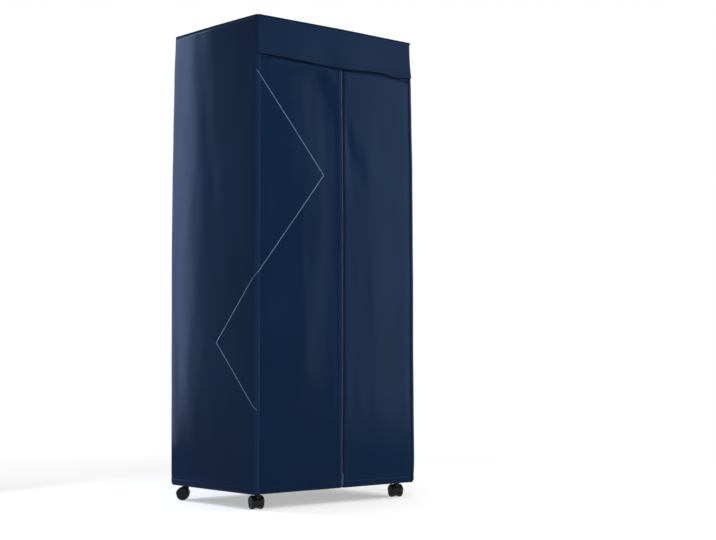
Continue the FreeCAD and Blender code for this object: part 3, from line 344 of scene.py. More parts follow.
def polishedTube():
    # Chromed steel: a mirror with a few dull marks, and painted reflection bands, light and dark, such as a
    # narrow tube shows in a bright room
    material, shader = newMaterial("chromedTube", {
        "Base Color": linearColour("dcdde0"), "Metallic": 1.0, "Roughness": 0.12,
    })
    marks = addTexture(material, "Noise", {"Scale": 18.0, "Detail": 6.0, "Roughness": 0.65})
    joinSockets(addRange(material, marks, 0.45, 0.8, 0.09, 0.26), shader, "Roughness")
    # painted reflection: colour and edge tint go light and dark with how squarely the tube faces the camera
    facing = addNode(material, "ShaderNodeLayerWeight", {"Blend": 0.5})
    bands = addRamp(material, (facing, "Facing"), {
        0.0: "e6e7e9", 0.22: "c4c6c9", 0.38: "4a4c50", 0.52: "8f9196", 0.75: "a8aaae", 1.0: "5e6064",
    })
    joinSockets(bands, shader, "Base Color")
    joinSockets(bands, shader, "Specular Tint")
    return material


def turnedMetal(name, light, dark, roughness):
    # Grey metal with fine turning lines and small spangles
    material, shader = newMaterial(name, {"Metallic": 1.0, "Roughness": roughness})
    spangle = addTexture(material, "Voronoi", {"Scale": 260.0}, output="Distance")
    joinSockets(addRamp(material, spangle, {0.0: light, 0.9: dark}), shader, "Base Color")
    lines = addTexture(material, "Wave", {
        "bands_direction": "Z", "Scale": waveLine / (0.5 * mm), "Distortion": 1.5,
    })
    joinSockets(addBump(material, lines, 0.12, 0.05 * mm), shader, "Normal")
    return material


def litSegments():
    # Light-emitting segments behind the smoked window: their own dim white glow is all that shows
    return newMaterial("litSegments", {
        "Base Color": linearColour("3a3d40"),
        "Roughness": 0.3,
        "Emission Color": linearColour("dfe6ea"),
        "Emission Strength": 0.8,
    })[0]


cloth = coatedPolyester()
thread = sewingThread()
binding = bindingTape()
ink = silverPrint()
coil = nylonCoil()
tape = zipTape()
panelGloss = mouldedPlastic("glossBlackABS", ("0b0b0d", "101113", "17181b"), 0.16, 0.004 * mm)

slotFinish = {
    "bracket_plastic": mouldedPlastic("texturedGreyPolypropylene", ("5f676b", "6d767a", "7c8588"), 0.5),
    "chromed_tube": polishedTube(),
    "bright_steel": turnedMetal("zincPlatedSteel", "c4c6c8", "8c8f92", 0.3),
    "caster_nylon": mouldedPlastic("blackNylon", ("080807", "0e0e0d", "191817"), 0.38, 0.03 * mm, {
        "Specular IOR Level": 0.25,
    }),
    "heater_white": mouldedPlastic("satinWhiteABS", ("bdbdbb", "cacac8", "d2d2d0"), 0.32, 0.015 * mm),
    "heater_black": mouldedPlastic("blackPolypropylene", ("141516", "1c1d1f", "2a2b2d"), 0.45),
    "smoked_window": panelGloss,
    "button_grey": mouldedPlastic("greyButtonABS", ("45484b", "54575a", "64676a"), 0.4),
    "board_green": mouldedPlastic("greenSolderLacquer", ("174a2c", "1f5a38", "2b6b45"), 0.3, 0.01 * mm),
    "element_aluminium": turnedMetal("milledAluminium", "d2d3d4", "a9abad", 0.35),
    "cover_cloth": cloth,
    "zip_nylon": coil,
    "zip_metal": mouldedPlastic("navyEnamelOnZinc", ("131f33", "1b2a40", "34435a"), 0.3, 0.01 * mm, {
        "Metallic": 0.4,
    }),
}
for subpart in frame["record"]["subparts"]:
    node = nodes[subpart["node"]]
    node.data.materials.clear()
    node.data.materials.append(slotFinish[subpart["material_slot"]])
nodes["control_panel"].data.materials[0] = panelGloss
print("finishes made")


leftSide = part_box("cover_left_side")
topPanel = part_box("cover_top")
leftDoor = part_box("left_door")
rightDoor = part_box("right_door")
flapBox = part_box("valance")
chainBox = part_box("zip_chain")
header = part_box("cover_header")

cover = {
    "halfWidth": -leftSide[0].x,
    "front": leftSide[0].y,
    "back": leftSide[1].y,
    "hem": leftSide[0].z,
    "top": topPanel[1].z,
    "corner": 18 * mm,
    "cloth": 1.1 * mm,
    "lip": 1.6 * mm,
    "hemBand": 22 * mm,
    "bandStep": 0.45 * mm,
    "bandEdge": 1.5 * mm,
    "grid": 7 * mm,
}

# how the cloth leaves its flat panels, in millimetres at each height: in towards the top's seams and at the
# hem's corners, out a little between the bars
hang = {
    "rearLeftIn": {
        0.054: 10.0, 0.058: 6.2, 0.064: 4.2, 0.12: 3.1, 0.33: 1.7, 0.55: 0.0, 0.90: -2.2, 1.13: -0.8,
        1.28: 1.7, 1.50: 5.3, 1.66: 11.0,
    },
    "rightOut": {
        0.054: 3.0, 0.058: 7.0, 0.064: 10.5, 0.13: 13.4, 0.34: 11.2, 0.55: 9.4, 0.76: 9.7, 0.96: 8.2,
        1.17: 6.8, 1.38: 2.4, 1.46: 0.4, 1.66: -7.5,
    },
    "cornerShare": 0.54,
    "topSag": 4.5 * mm,
    "sagFrom": 1.35,
}


def drape(points):
    x, y, z = points[..., 0], points[..., 1], points[..., 2]
    rightShare = np.clip(x / cover["halfWidth"], 0, 1)
    leftShare = np.clip(-x / cover["halfWidth"], 0, 1)
    rearShare = np.clip(y / cover["back"], 0, 1)
    inward = mm * hang["cornerShare"] * easedTable(hang["rearLeftIn"], z)
    outward = mm * easedTable(hang["rightOut"], z)
    sag = hang["topSag"] * rightShare * smoothStep(z, hang["sagFrom"], cover["top"])
    return np.stack([
        x + outward * rightShare + inward * leftShare * rearShare,
        y - inward * rearShare,
        z - sag,
    ], axis=-1)


ripple = {"waves": 5, "lean": 0.2, "shortening": 0.6, "peak": 1.6}


def slowRipple(u, v, folds):
    # a sum of sine waves, each shorter and shallower than the last, that run mostly upright
    random = np.random.default_rng(folds["seed"])
    total = np.zeros(np.broadcast(u, v).shape)
    for k in range(ripple["waves"]):
        length = folds["foldLength"] / (1 + ripple["shortening"] * k)
        slant = random.uniform(-ripple["lean"], ripple["lean"])
        phase = random.uniform(0, tau)
        total += np.sin(tau * (u + slant * v) / length + phase) / (1 + k)
    return folds["foldDepth"] * total / ripple["peak"]


def evenLine(start, end, step, *closer):
    # even steps from start to end, with closer places where the shape turns sooner
    even = np.linspace(start, end, max(3, round((end - start) / step) + 1))
    return np.unique(np.round(np.concatenate([even, *closer]), 6))


def uprightLine(bottom, top):
    # places up a panel, closer over its turned-up hem
    hemPlaces = bottom + mm * np.array([1.5, 3, 4.5, 6.5, 9, 13, 17, 20, 20.5, 21, 21.5, 22, 22.6])
    return evenLine(bottom, top, 2 * cover["grid"], hemPlaces)


def hemThickness(v, hem):
    # the turned-up hem is two layers thick, so it stands out a little up to its stitched edge
    edge = hem + cover["hemBand"]
    return cover["bandStep"] * (1 - smoothStep(v, edge - cover["bandEdge"], edge))


def clothPiece(name, body, place, uLine, vLine, replaced, flip=False):
    # a cloth of one thickness over the surface that place gives for u across the cut and v up it
    u, v = np.meshgrid(uLine, vLine)
    faces = gridFaces(len(vLine), len(uLine))
    if flip:
        faces = turnedOver(faces)
    piece = meshPiece(name, place(u, v), faces, np.stack([u, v], axis=-1))
    thicken(piece, cover["cloth"])
    dress(piece, body, "cover_cloth", cloth, replaced)
    return piece


sideCloth = {
    "seed": 11,
    "foldLength": 0.3,
    "foldDepth": 0.35 * mm,
    "seamDrop": 1.6 * mm,
    "pull": 1.0 * mm,
    "flatFrom": (0.02, 0.07),
    # where the painted corner highlight is full and where it has faded out, in metres from the front seam
    "paleCorner": (0.016, 0.034),
}
panelTop = cover["top"] - sideCloth["seamDrop"]
quarter = cover["corner"] * math.pi / 2
straight = cover["back"] - cover["front"] - 2 * cover["corner"]
sideRun = 2 * cover["lip"] + 2 * quarter + straight


def cornerTurns(run):
    # how far the front and the rear corner have turned at these metres from the front lip
    r, lip = cover["corner"], cover["lip"]
    first = np.clip((run - lip) / r, 0, math.pi / 2)
    return first, np.clip((run - lip - quarter - straight) / r, 0, math.pi / 2)


def sideOutline(run):
    # plan of a side panel, summed along the cloth so that straight runs and arcs join with no kink
    r, lip = cover["corner"], cover["lip"]
    first, second = cornerTurns(run)
    x = -(cover["halfWidth"] - r - lip) - np.clip(run, 0, lip) - r * np.sin(first) + r * (1 - np.cos(second))
    x += np.clip(run - lip - 2 * quarter - straight, 0, lip)
    y = cover["front"] + r * (1 - np.cos(first)) + np.clip(run - lip - quarter, 0, straight)
    return np.stack([x, y + r * np.sin(second), 0 * run], axis=-1)


def sideNormals(run):
    # the outward directions there
    first, second = cornerTurns(run)
    heading = first + second
    return np.stack([-np.sin(heading), -np.cos(heading), 0 * run], axis=-1)


def sidePlace(u, v):
    low, high = sideCloth["flatFrom"]
    loose = smoothStep(u, low, high) * (1 - smoothStep(u, sideRun - high, sideRun - low))
    out = slowRipple(u, v, sideCloth) * loose
    out -= sideCloth["pull"] * loose * np.sin(math.pi * u / sideRun) ** 2
    out += hemThickness(v, cover["hem"])
    points = sideOutline(u) + sideNormals(u) * out[..., None]
    points[..., 2] = v
    return points


def leftSidePlace(u, v):
    return drape(sidePlace(u, v))


def rightSidePlace(u, v):
    # the same surface on the other side of the middle plane
    return drape(sidePlace(u, v) * [-1, 1, 1])


def markPaintedHighlight(panel):
    # 1 in the strip of the front corner that gets the painted highlight, 0 elsewhere
    run = np.array([corner.uv for corner in panel.data.uv_layers.active.data])[:, 0]
    share = np.zeros(len(panel.data.vertices))
    share[[loop.vertex_index for loop in panel.data.loops]] = 1 - smoothStep(run, *sideCloth["paleCorner"])
    panel.data.attributes.new("paintedCornerHighlight", "FLOAT", "POINT").data.foreach_set("value", share)


arc = np.linspace(0, quarter, 9)
sideLine = evenLine(0, sideRun, cover["grid"], cover["lip"] + arc, sideRun - cover["lip"] - arc)
for side, place in (("left", leftSidePlace), ("right", rightSidePlace)):
    markPaintedHighlight(clothPiece(
        f"cover_{side}_side_cloth",
        "cover",
        place,
        sideLine,
        uprightLine(cover["hem"], panelTop),
        f"cover_{side}_side",
        flip=side == "left",
    ))


backCloth = {"seed": 23, "foldLength": 0.3, "foldDepth": 1.1 * mm, "flatEdge": 0.05, "seam": 0.3 * mm}
backEdge = cover["halfWidth"] - cover["corner"] - cover["lip"] - backCloth["seam"]


def backPlace(u, v):
    loose = smoothStep(backEdge - np.abs(u), 0, backCloth["flatEdge"])
    out = slowRipple(u, v, backCloth) * loose
    return drape(np.stack([u, cover["back"] + out + hemThickness(v, cover["hem"]), v], axis=-1))


clothPiece(
    "cover_back_cloth",
    "cover",
    backPlace,
    evenLine(-backEdge, backEdge, cover["grid"]),
    uprightLine(cover["hem"], panelTop),
    "cover_back",
    flip=True,
)


headerCloth = {"seed": 5, "foldLength": 0.3, "foldDepth": 0.1 * mm}


def headerPlace(u, v):
    return drape(np.stack([u, header[0].y + slowRipple(u, v, headerCloth), v], axis=-1))


clothPiece(
    "cover_header_cloth",
    "cover",
    headerPlace,
    evenLine(header[0].x, header[1].x, cover["grid"]),
    evenLine(header[0].z, header[1].z, 2 * cover["grid"]),
    "cover_header",
)


# the top: rings of one rounded rectangle, each drawn in towards the middle, that sag between the top bars
topCloth = {
    "inset": 1.6 * mm,
    "frontInset": 3.2 * mm,
    "rings": 34,
    "around": 360,
    "crowding": 0.8,  # below 1 the rings lie closer together at the seam than in the middle
    "sag": 2.2 * mm,
    "sagShare": 0.5,
    "seam": 1.2 * mm,
    "seamShare": 0.985,
    "looseFrom": (0.02, 0.2),
    "seed": 31,
    "foldLength": 0.35,
    "foldDepth": 0.7 * mm,
}


def roundedOutline(inset, frontInset, count):
    # points round the top: the nearest point of the inner rectangle, plus the corner's radius towards a point
    # that travels round the outer one
    halfX, radius = cover["halfWidth"] - inset, cover["corner"] - inset
    frontY, backY = flapBox[0].y + frontInset, cover["back"] - inset
    turn = np.linspace(0, tau, count, endpoint=False)
    halfY = (backY - frontY) / 2
    reach = np.maximum(np.abs(np.cos(turn)) / halfX, np.abs(np.sin(turn)) / halfY)
    square = np.stack([np.cos(turn) / reach, np.sin(turn) / reach], axis=-1)
    limit = np.array([halfX - radius, halfY - radius])
    inner = np.clip(square, -limit, limit)
    away = square - inner
    size = np.maximum(np.linalg.norm(away, axis=1, keepdims=True), 1e-9)
    return inner + away / size * radius + [0, (backY + frontY) / 2]


def topPiece():
    around = topCloth["around"]
    outline = roundedOutline(topCloth["inset"], topCloth["frontInset"], around)
    middle = outline.mean(axis=0)
    share = (np.linspace(1, 0, topCloth["rings"]) ** topCloth["crowding"])[:, None, None]
    ring = middle + (outline - middle)[None] * share
    inward = 1 - share[..., 0]
    wave = slowRipple(ring[..., 0], ring[..., 1], topCloth) * smoothStep(inward, *topCloth["looseFrom"])
    height = cover["top"] - topCloth["seam"] * smoothStep(share[..., 0], topCloth["seamShare"], 1.0)
    height = height - topCloth["sag"] * smoothStep(inward, 0.0, topCloth["sagShare"]) + wave
    points = drape(np.concatenate([ring, height[..., None]], axis=-1))
    points = np.concatenate([points[:-1].reshape(-1, 3), points[-1].mean(axis=0)[None]])
    faces = gridFaces(topCloth["rings"] - 1, around, wrapColumns=True)
    last = (topCloth["rings"] - 2) * around
    faces += [[last + i, last + (i + 1) % around, len(points) - 1] for i in range(around)]
    piece = meshPiece("cover_top_cloth", points, faces, points[:, :2])
    thicken(piece, cover["cloth"])
    dress(piece, "cover", "cover_cloth", cloth, "cover_top")


topPiece()


# a cord sewn into the seam all round the top
piping = {"radius": 2.0 * mm, "around": 480, "sides": 10}


def pipingPiece():
    radius = piping["radius"]
    outline = roundedOutline(radius, radius, piping["around"])
    path = drape(np.column_stack([outline, np.full(len(outline), cover["top"] - radius)]))
    piece = tubePiece("top_piping", path, radius, piping["sides"], closed=True)
    dress(piece, "cover", "cover_cloth", binding)


pipingPiece()
print("cover panels made")


# the valance: straight along the top, waved and standing off the doors along its hem; its drops are
# millimetres below the top
flapCloth = {
    "drops": {-0.360: 131.5, -0.020: 139.5, 0.025: 140.5, 0.182: 132.0, 0.265: 138.0, 0.350: 134.0},
    "rightInset": 14 * mm,
    "cut": 0.140,
    "seamDrop": 1.5 * mm,
    "seamDepth": 2.6 * mm,
    "seamBulge": 0.5 * mm,
    "seamShare": 0.05,
    "flare": 3.0 * mm,
    "flareCurve": 1.5,
    "cornerFlare": 3.0 * mm,
    "cornerReach": 0.09,
    "waves": 6,
    "waveDepth": 1.3 * mm,
    "band": (0.1, 0.112),
    "columns": 121,
    "rows": 25,
    "uvHeight": 0.138,
}
flapLeft, flapRight = flapBox[0].x, flapBox[1].x - flapCloth["rightInset"]


def flapDrop(x):
    return mm * easedTable(flapCloth["drops"], x)


def flapPlace(u, v):
    # v runs from 0 at the hem to 1 at the seam
    down = 1 - v
    across = (u - flapLeft) / (flapRight - flapLeft)
    wave = flapCloth["waveDepth"] * np.sin(flapCloth["waves"] * math.pi * across) * down
    off = flapCloth["cornerFlare"] * smoothStep(u, flapRight - flapCloth["cornerReach"], flapRight)
    off = (flapCloth["flare"] + off) * down ** flapCloth["flareCurve"]
    band = cover["bandStep"] * (1 - smoothStep(v, *flapCloth["band"]))
    seam = flapBox[0].y + flapCloth["seamDepth"]
    seam = seam + flapCloth["seamBulge"] * smoothStep(down, 0.0, flapCloth["seamShare"])
    z = cover["top"] - flapCloth["seamDrop"] - (flapDrop(u) - flapCloth["seamDrop"]) * down
    return drape(np.stack([u, seam - off + wave - band, z], axis=-1))


def flapPiece():
    columns, rows = flapCloth["columns"], flapCloth["rows"]
    u, v = np.meshgrid(np.linspace(flapLeft, flapRight, columns), np.linspace(0, 1, rows))
    uvs = np.stack([u, v * flapCloth["uvHeight"]], axis=-1)
    piece = meshPiece("valance_cloth", flapPlace(u, v), gridFaces(rows, columns), uvs)
    thicken(piece, cover["cloth"])
    dress(piece, "valance", "cover_cloth", cloth, "valance")


# the doors: three shallow upright folds each, with a turned edge along the zip
doorCloth = {
    "folds": 3,
    "depth": 3.0 * mm,
    "depthCurve": (0.2, 3.0, -3.2),
    "leastDepth": 0.02,
    "foldLength": 0.19,
    "foldDepth": 0.35 * mm,
    "rippleFade": (0.01, 0.12),
    "heldEdge": 0.03,
    "hingeDip": 1.2 * mm,
    "dipEdge": (0.012, 0.03),
    "edgeBand": 14 * mm,
    "rollWidth": 16 * mm,
    "hemEdge": (0.004, 0.02),
    "rise": 2.0 * mm,
    "riseHeight": 0.03,
    "riseEdge": (0.02, 0.05),
}
doorBottom, doorTop = leftDoor[0].z, leftDoor[1].z

# lines along which the left door's cloth is drawn in: the places of their ends in x and z, then how deep, how
# far the slope reaches on each side and how far beyond the ends it fades
hollows = [
    {"start": (-0.112, 1.512), "end": (0.006, 1.3), "depth": 3.2 * mm, "sides": (0.13, 0.036), "fade": 0.3},
    {"start": (-0.15, 0.42), "end": (-0.16, 0.06), "depth": 2.6 * mm, "sides": (0.11, 0.08), "fade": 0.25},
]
# the share of its fade that each reaches before its start, then metres to its full depth, there and below the
# header
hollowEdges = {"before": 0.2, "begin": 0.06, "header": (0.004, 0.05)}

# the zip isn't quite upright: millimetres towards +x at each height
zipPath = {0.05: 0, 0.13: 0, 0.20: -1, 0.37: 2.5, 1.06: 2.5, 1.24: 1.0, 1.41: -2.5, 1.53: -4}


def hollowDepth(x, z):
    # for each line a bell curve of the distance from it, that fades towards both ends and at the header
    total = np.zeros(np.broadcast(x, z).shape)
    for hollow in hollows:
        start, end = np.array(hollow["start"]), np.array(hollow["end"])
        length = np.linalg.norm(end - start)
        toX, toZ = (end - start) / length
        along = (x - start[0]) * toX + (z - start[1]) * toZ
        across = (x - start[0]) * toZ - (z - start[1]) * toX
        reach = np.where(across > 0, *hollow["sides"])
        begun = smoothStep(along, -hollowEdges["before"] * hollow["fade"], hollowEdges["begin"])
        ended = smoothStep(along, length, length + hollow["fade"])
        total += hollow["depth"] * np.exp(-(across / reach) ** 2) * begun * (1 - ended)
    return total * smoothStep(doorTop - z, *hollowEdges["header"])


def zipBend(v):
    return mm * easedTable(zipPath, v)


def foldDepth(v):
    # a fifth of the depth at the hem, nine tenths near half height, almost nothing at the header
    low, rise, fall = doorCloth["depthCurve"]
    t = (v - doorBottom) / (doorTop - doorBottom)
    return doorCloth["depth"] * np.clip(low + rise * t + fall * t * t, doorCloth["leastDepth"], 1)


def doorSurface(hinge, zipEdge, seed, shallow, roll):
    # the cloth at u metres from the hinge: a sine with one fold per third of the width, plus slow ripples
    width = abs(zipEdge - hinge)
    toZip = 1 if zipEdge > hinge else -1

    def place(u, v):
        fold = shallow * foldDepth(v) * np.sin(doorCloth["folds"] * math.pi * u / width)
        edge = doorCloth["heldEdge"]
        loose = smoothStep(u, 0, edge) * (1 - smoothStep(u, width - edge, width))
        low = smoothStep(doorTop - v, *doorCloth["rippleFade"])
        waves = slowRipple(u, v, {**doorCloth, "seed": seed}) * loose * low
        band = width - doorCloth["edgeBand"]
        turnedEdge = cover["bandStep"] * smoothStep(u, band, band + cover["bandEdge"])
        hem = hemThickness(v, doorBottom) * smoothStep(u, *doorCloth["hemEdge"])
        x = hinge + toZip * u
        # the top edge rises just far enough to stay hidden behind the valance's hem
        rise = np.maximum(cover["top"] - flapDrop(x) + doorCloth["rise"] - doorTop, 0)
        rise = rise * smoothStep(v, doorTop - doorCloth["riseHeight"], doorTop)
        rolled = roll * smoothStep(u, width - doorCloth["rollWidth"], width)
        dip = doorCloth["hingeDip"] * (1 - smoothStep(u, *doorCloth["dipEdge"]))
        y = cover["front"] + fold + waves - turnedEdge - hem + hollowDepth(x, v) * loose + rolled + dip
        # where the zip bends away from this door the turned edge stays, so the slider keeps clear of it
        bend = np.minimum(zipBend(v), 0) if toZip > 0 else np.maximum(zipBend(v), 0)
        z = v + rise * smoothStep(u, *doorCloth["riseEdge"])
        return drape(np.stack([x + bend * u / width, y, z], axis=-1))
    return place, width


doors = {
    "left": doorSurface(leftDoor[0].x, leftDoor[1].x, 3, 0.3, -0.4 * mm),
    "right": doorSurface(rightDoor[1].x, rightDoor[0].x, 8, 0.15, 0.7 * mm),
}
for side, (place, width) in doors.items():
    turnedPlaces = width - doorCloth["edgeBand"] + mm * np.array([0, 0.4, 0.8, 1.2, 1.6])
    clothPiece(
        f"{side}_door_cloth",
        f"{side}_door",
        place,
        evenLine(0, width, cover["grid"], turnedPlaces),
        uprightLine(doorBottom, doorTop),
        f"{side}_door",
        flip=side == "right",
    )
flapPiece()
print("doors and valance made")


# each stitch is a spindle: its thickness at five places along its length
stitch = {
    "length": 3.0 * mm,
    "pitch": 4.2 * mm,
    "radius": 0.28 * mm,
    "sides": 5,
    "places": np.array([0.0, 0.18, 0.5, 0.82, 1.0]),
    "widths": np.array([0.35, 0.85, 1.0, 0.85, 0.35]),
    "lift": 0.25 * mm,
    "hemRow": 3.0 * mm,
    "edgeRow": 2.0 * mm,
    "zipRow": 1.8 * mm,
    "panelEnd": 1 * mm,
    "doorEnd": 2 * mm,
    "headerEnd": 20 * mm,
    "valanceRows": (0.088, 0.955),
}


def stitchRow(path):
    # the rings of stitches at even steps along a path of points
    steps = np.linalg.norm(np.diff(path, axis=0), axis=1)
    run = np.concatenate([[0], np.cumsum(steps)])
    count = max(1, int(run[-1] / stitch["pitch"]))
    middles = (np.arange(count) + 0.5) * run[-1] / count
    start, end = [
        np.stack([np.interp(middles + half, run, path[:, k]) for k in range(3)], axis=-1)
        for half in (-stitch["length"] / 2, stitch["length"] / 2)
    ]
    along = end - start
    circles = circlesAround(along / np.linalg.norm(along, axis=1, keepdims=True), stitch["sides"])
    widths = stitch["radius"] * stitch["widths"]
    rings = start[:, None, None] + along[:, None, None] * stitch["places"][None, :, None, None]
    return rings + widths[None, :, None, None] * circles[:, None]


def stitchPiece(name, body, paths):
    rings = np.concatenate([stitchRow(path) for path in paths])
    count, perStitch, sides = rings.shape[:3]
    one = np.array(gridFaces(perStitch, sides, wrapColumns=True))[:, ::-1]
    faces = (one[None] + perStitch * sides * np.arange(count)[:, None, None]).reshape(-1, 4).tolist()
    dress(meshPiece(name, rings, faces), body, "cover_cloth", thread)


def alongSurface(place, u, v, outward=(0, -1, 0)):
    # a path a little off a cloth's face
    return place(u, v) + np.array(outward) * stitch["lift"]


def doorStitches(side):
    place, width = doors[side]
    edge = width - doorCloth["edgeBand"] + stitch["edgeRow"]
    v = np.linspace(doorBottom + stitch["doorEnd"], doorTop - stitch["headerEnd"], 160)
    u = np.linspace(stitch["doorEnd"], edge, 70)
    stitchPiece(f"{side}_door_stitches", f"{side}_door", [
        alongSurface(place, np.full_like(v, edge), v),
        alongSurface(place, np.full_like(v, width - stitch["zipRow"]), v),
        alongSurface(place, u, np.full_like(u, doorBottom + cover["hemBand"] - stitch["hemRow"])),
    ])


def coverStitches():
    hem = cover["hem"] + cover["hemBand"] - stitch["hemRow"]
    run = np.linspace(stitch["panelEnd"], sideRun - stitch["panelEnd"], 150)
    u = np.linspace(-backEdge + stitch["panelEnd"], backEdge - stitch["panelEnd"], 120)
    height = np.full_like(run, hem)
    stitchPiece("cover_hem_stitches", "cover", [
        alongSurface(leftSidePlace, run, height, sideNormals(run)),
        alongSurface(rightSidePlace, run, height, sideNormals(run) * [-1, 1, 1]),
        alongSurface(backPlace, u, np.full_like(u, hem), (0, 1, 0)),
    ])


for side in doors:
    doorStitches(side)
coverStitches()


# tape folded over a hem: millimetres up from the hem and out from the cloth's face, from the outside inwards
hemTape = {
    "section": [(5.0, 0.12), (4.8, 0.34), (0.2, 0.38), (-0.3, 0.1), (-0.3, -1.2), (0.2, -1.5), (4.0, -1.5)],
    "hingeGap": 6 * mm,
    "flapGap": 3 * mm,
}


def bindingPiece(name, body, strips):
    # each strip is a place, its run, the hem's height and the outward normals
    section = hemTape["section"]
    points, faces = [], []
    for place, run, hem, outward in strips:
        outward = np.broadcast_to(outward, (len(run), 3))
        edge = place(run, np.full_like(run, hem))
        faces += gridFaces(len(section), len(run), start=sum(len(part) for part in points))
        rows = [edge + [0, 0, rise * mm] + outward * out * mm for rise, out in section]
        points.append(np.concatenate(rows))
    dress(meshPiece(name, np.concatenate(points), faces), body, "cover_cloth", binding)


bindingPiece("cover_hem_binding", "cover", [
    (leftSidePlace, sideLine, cover["hem"], sideNormals(sideLine)),
    (rightSidePlace, sideLine, cover["hem"], sideNormals(sideLine) * [-1, 1, 1]),
    (backPlace, evenLine(-backEdge, backEdge, 4 * cover["grid"]), cover["hem"], [0, 1, 0]),
])
for side, (place, width) in doors.items():
    line = evenLine(hemTape["hingeGap"], width, 2 * cover["grid"])
    bindingPiece(f"{side}_door_binding", f"{side}_door", [(place, line, doorBottom, [0, -1, 0])])

flapRun = np.linspace(flapLeft + hemTape["flapGap"], flapRight - hemTape["flapGap"], 140)
# tape bound over the valance's hem; its dark colour also stands in for the shadow line under the hem, as
# painted shade
bindingPiece("valance_hem_binding_and_painted_shade", "valance", [(flapPlace, flapRun, 0.0, [0, -1, 0])])
stitchPiece("valance_stitches", "valance", [
    alongSurface(flapPlace, flapRun, np.full_like(flapRun, share)) for share in stitch["valanceRows"]
])


# corners of the thin zig-zag, in the flat: metres along the cloth from the side's front seam, then height
stripe = {
    "width": 2.4 * mm,
    "corners": np.array([(0.016, 1.471), (-0.275, 1.137), (0.012, 0.788), (0.235, 0.557), (0.012, 0.333)]),
    "lift": 0.12 * mm,
    "step": 4 * mm,
}


def stripeOutline():
    # middle line of the ribbon at even steps, and half its width across, mitred at the turns
    corners = stripe["corners"]
    legs = np.diff(corners, axis=0)
    legs /= np.linalg.norm(legs, axis=1, keepdims=True)
    normals = np.stack([-legs[:, 1], legs[:, 0]], axis=-1)
    mitres = [normals[0]]
    for before, after in zip(normals, normals[1:]):
        bisector = (before + after) / np.linalg.norm(before + after)
        mitres.append(bisector / (bisector @ after))
    mitres.append(normals[-1])
    middle, across = [], []
    for i, (start, end) in enumerate(zip(corners, corners[1:])):
        count = int(np.linalg.norm(end - start) / stripe["step"])
        t = np.linspace(0, 1, count)[:, None]
        middle.append(start * (1 - t) + end * t)
        wide = np.repeat(normals[i][None], count, axis=0)
        wide[0], wide[-1] = mitres[i], mitres[i + 1]
        across.append(wide)
    return np.concatenate(middle), np.concatenate(across) * stripe["width"] / 2


def stripePiece(name, body, place, side, outward):
    # the part of the ribbon to one side of the seam: flat points past the seam are pushed back to it, and the
    # faces that lose all their width there are left out
    middle, across = stripeOutline()
    flat = middle[:, None] + across[:, None] * np.array([-1, 0, 1])[None, :, None]
    run = np.maximum(side * flat[..., 0], 0)
    kept = np.ptp(np.concatenate([run[:-1], run[1:]], axis=1), axis=1) > 0
    points = place(run, flat[..., 1]) + outward(run) * stripe["lift"]
    faces = np.array(gridFaces(len(middle), 3))[:, ::-1].reshape(len(middle) - 1, 2, 4)
    dress(meshPiece(name, points, faces[kept].reshape(-1, 4).tolist()), body, "cover_cloth", ink)


def doorNormals(run):
    return np.stack([0 * run, 0 * run - 1, 0 * run], axis=-1)


stripePiece("stripe_on_left_door", "left_door", doors["left"][0], -1, doorNormals)
stripePiece("stripe_on_left_side", "cover", leftSidePlace, 1, sideNormals)
print("stitches and stripe made")


zipper = {
    "pitch": 2.0 * mm,
    "wire": 0.42 * mm,
    "wireSides": 5,
    "endGap": 1 * mm,
    "offset": 1.35 * mm,
    "reachAcross": 1.75 * mm,
    "reachDeep": 0.62 * mm,
    "stepsPerTurn": 8,
    "tapeAcross": mm * np.array([0.3, 0.5, 1.0, 4.0, 8.0, 14.0]),
    "tapeBehind": 1.25 * mm,
    "tapeBelow": 1.5 * mm,
    "tapeThickness": 0.4 * mm,
    "tapeRows": 60,
}
zipMiddle = (chainBox[0].x + chainBox[1].x) / 2
chainY = (chainBox[0].y + chainBox[1].y) / 2


def coilPiece(name, body, side, *replaced):
    # one row of teeth: a flattened helix that climbs one pitch a turn, half a pitch higher on the right
    turns = int((chainBox[1].z - chainBox[0].z - 2 * zipper["endGap"]) / zipper["pitch"])
    phase = np.linspace(0, tau * turns, turns * zipper["stepsPerTurn"] + 1)
    y = chainY + zipper["reachDeep"] * np.sin(phase)
    z = chainBox[0].z + zipper["endGap"] + (phase / tau + 0.25 * (1 + side)) * zipper["pitch"]
    x = zipMiddle + zipBend(z) + side * (zipper["offset"] + zipper["reachAcross"] * np.cos(phase))
    piece = tubePiece(name, np.column_stack([x, y, z]), zipper["wire"], zipper["wireSides"])
    dress(piece, body, "zip_nylon", coil, *replaced)


def tapePiece(name, body, side):
    # woven tape behind the coil and under the door's turned edge
    v = np.linspace(chainBox[0].z - zipper["tapeBelow"], chainBox[1].z, zipper["tapeRows"])
    u, height = np.meshgrid(zipMiddle + side * zipper["tapeAcross"], v)
    points = np.stack([u + zipBend(height), np.full_like(u, chainY + zipper["tapeBehind"]), height], axis=-1)
    faces = gridFaces(*u.shape)
    piece = meshPiece(name, points, turnedOver(faces) if side < 0 else faces)
    thicken(piece, zipper["tapeThickness"])
    dress(piece, body, "zip_nylon", tape)


coilPiece("zip_coil_left", "left_door", -1, "zip_chain")
coilPiece("zip_coil_right", "right_door", 1)
tapePiece("zip_tape_left", "left_door", -1)
tapePiece("zip_tape_right", "right_door", 1)
print("zip made")


# two digits of seven bars each, with one bar unlit in each; every bar's middle is in digit widths and heights
digit = {
    "width": 4.6 * mm,
    "height": 8.4 * mm,
    "gap": 2.2 * mm,
    "bar": 0.8 * mm,
    "barEnd": 0.7,
    "relief": 0.12 * mm,
    "unlit": ("upperRight", "middle"),
}
bars = {
    "top": (0.5, 1.0), "middle": (0.5, 0.5), "bottom": (0.5, 0.0),
    "upperLeft": (0.0, 0.75), "upperRight": (1.0, 0.75), "lowerLeft": (0.0, 0.25), "lowerRight": (1.0, 0.25),
}


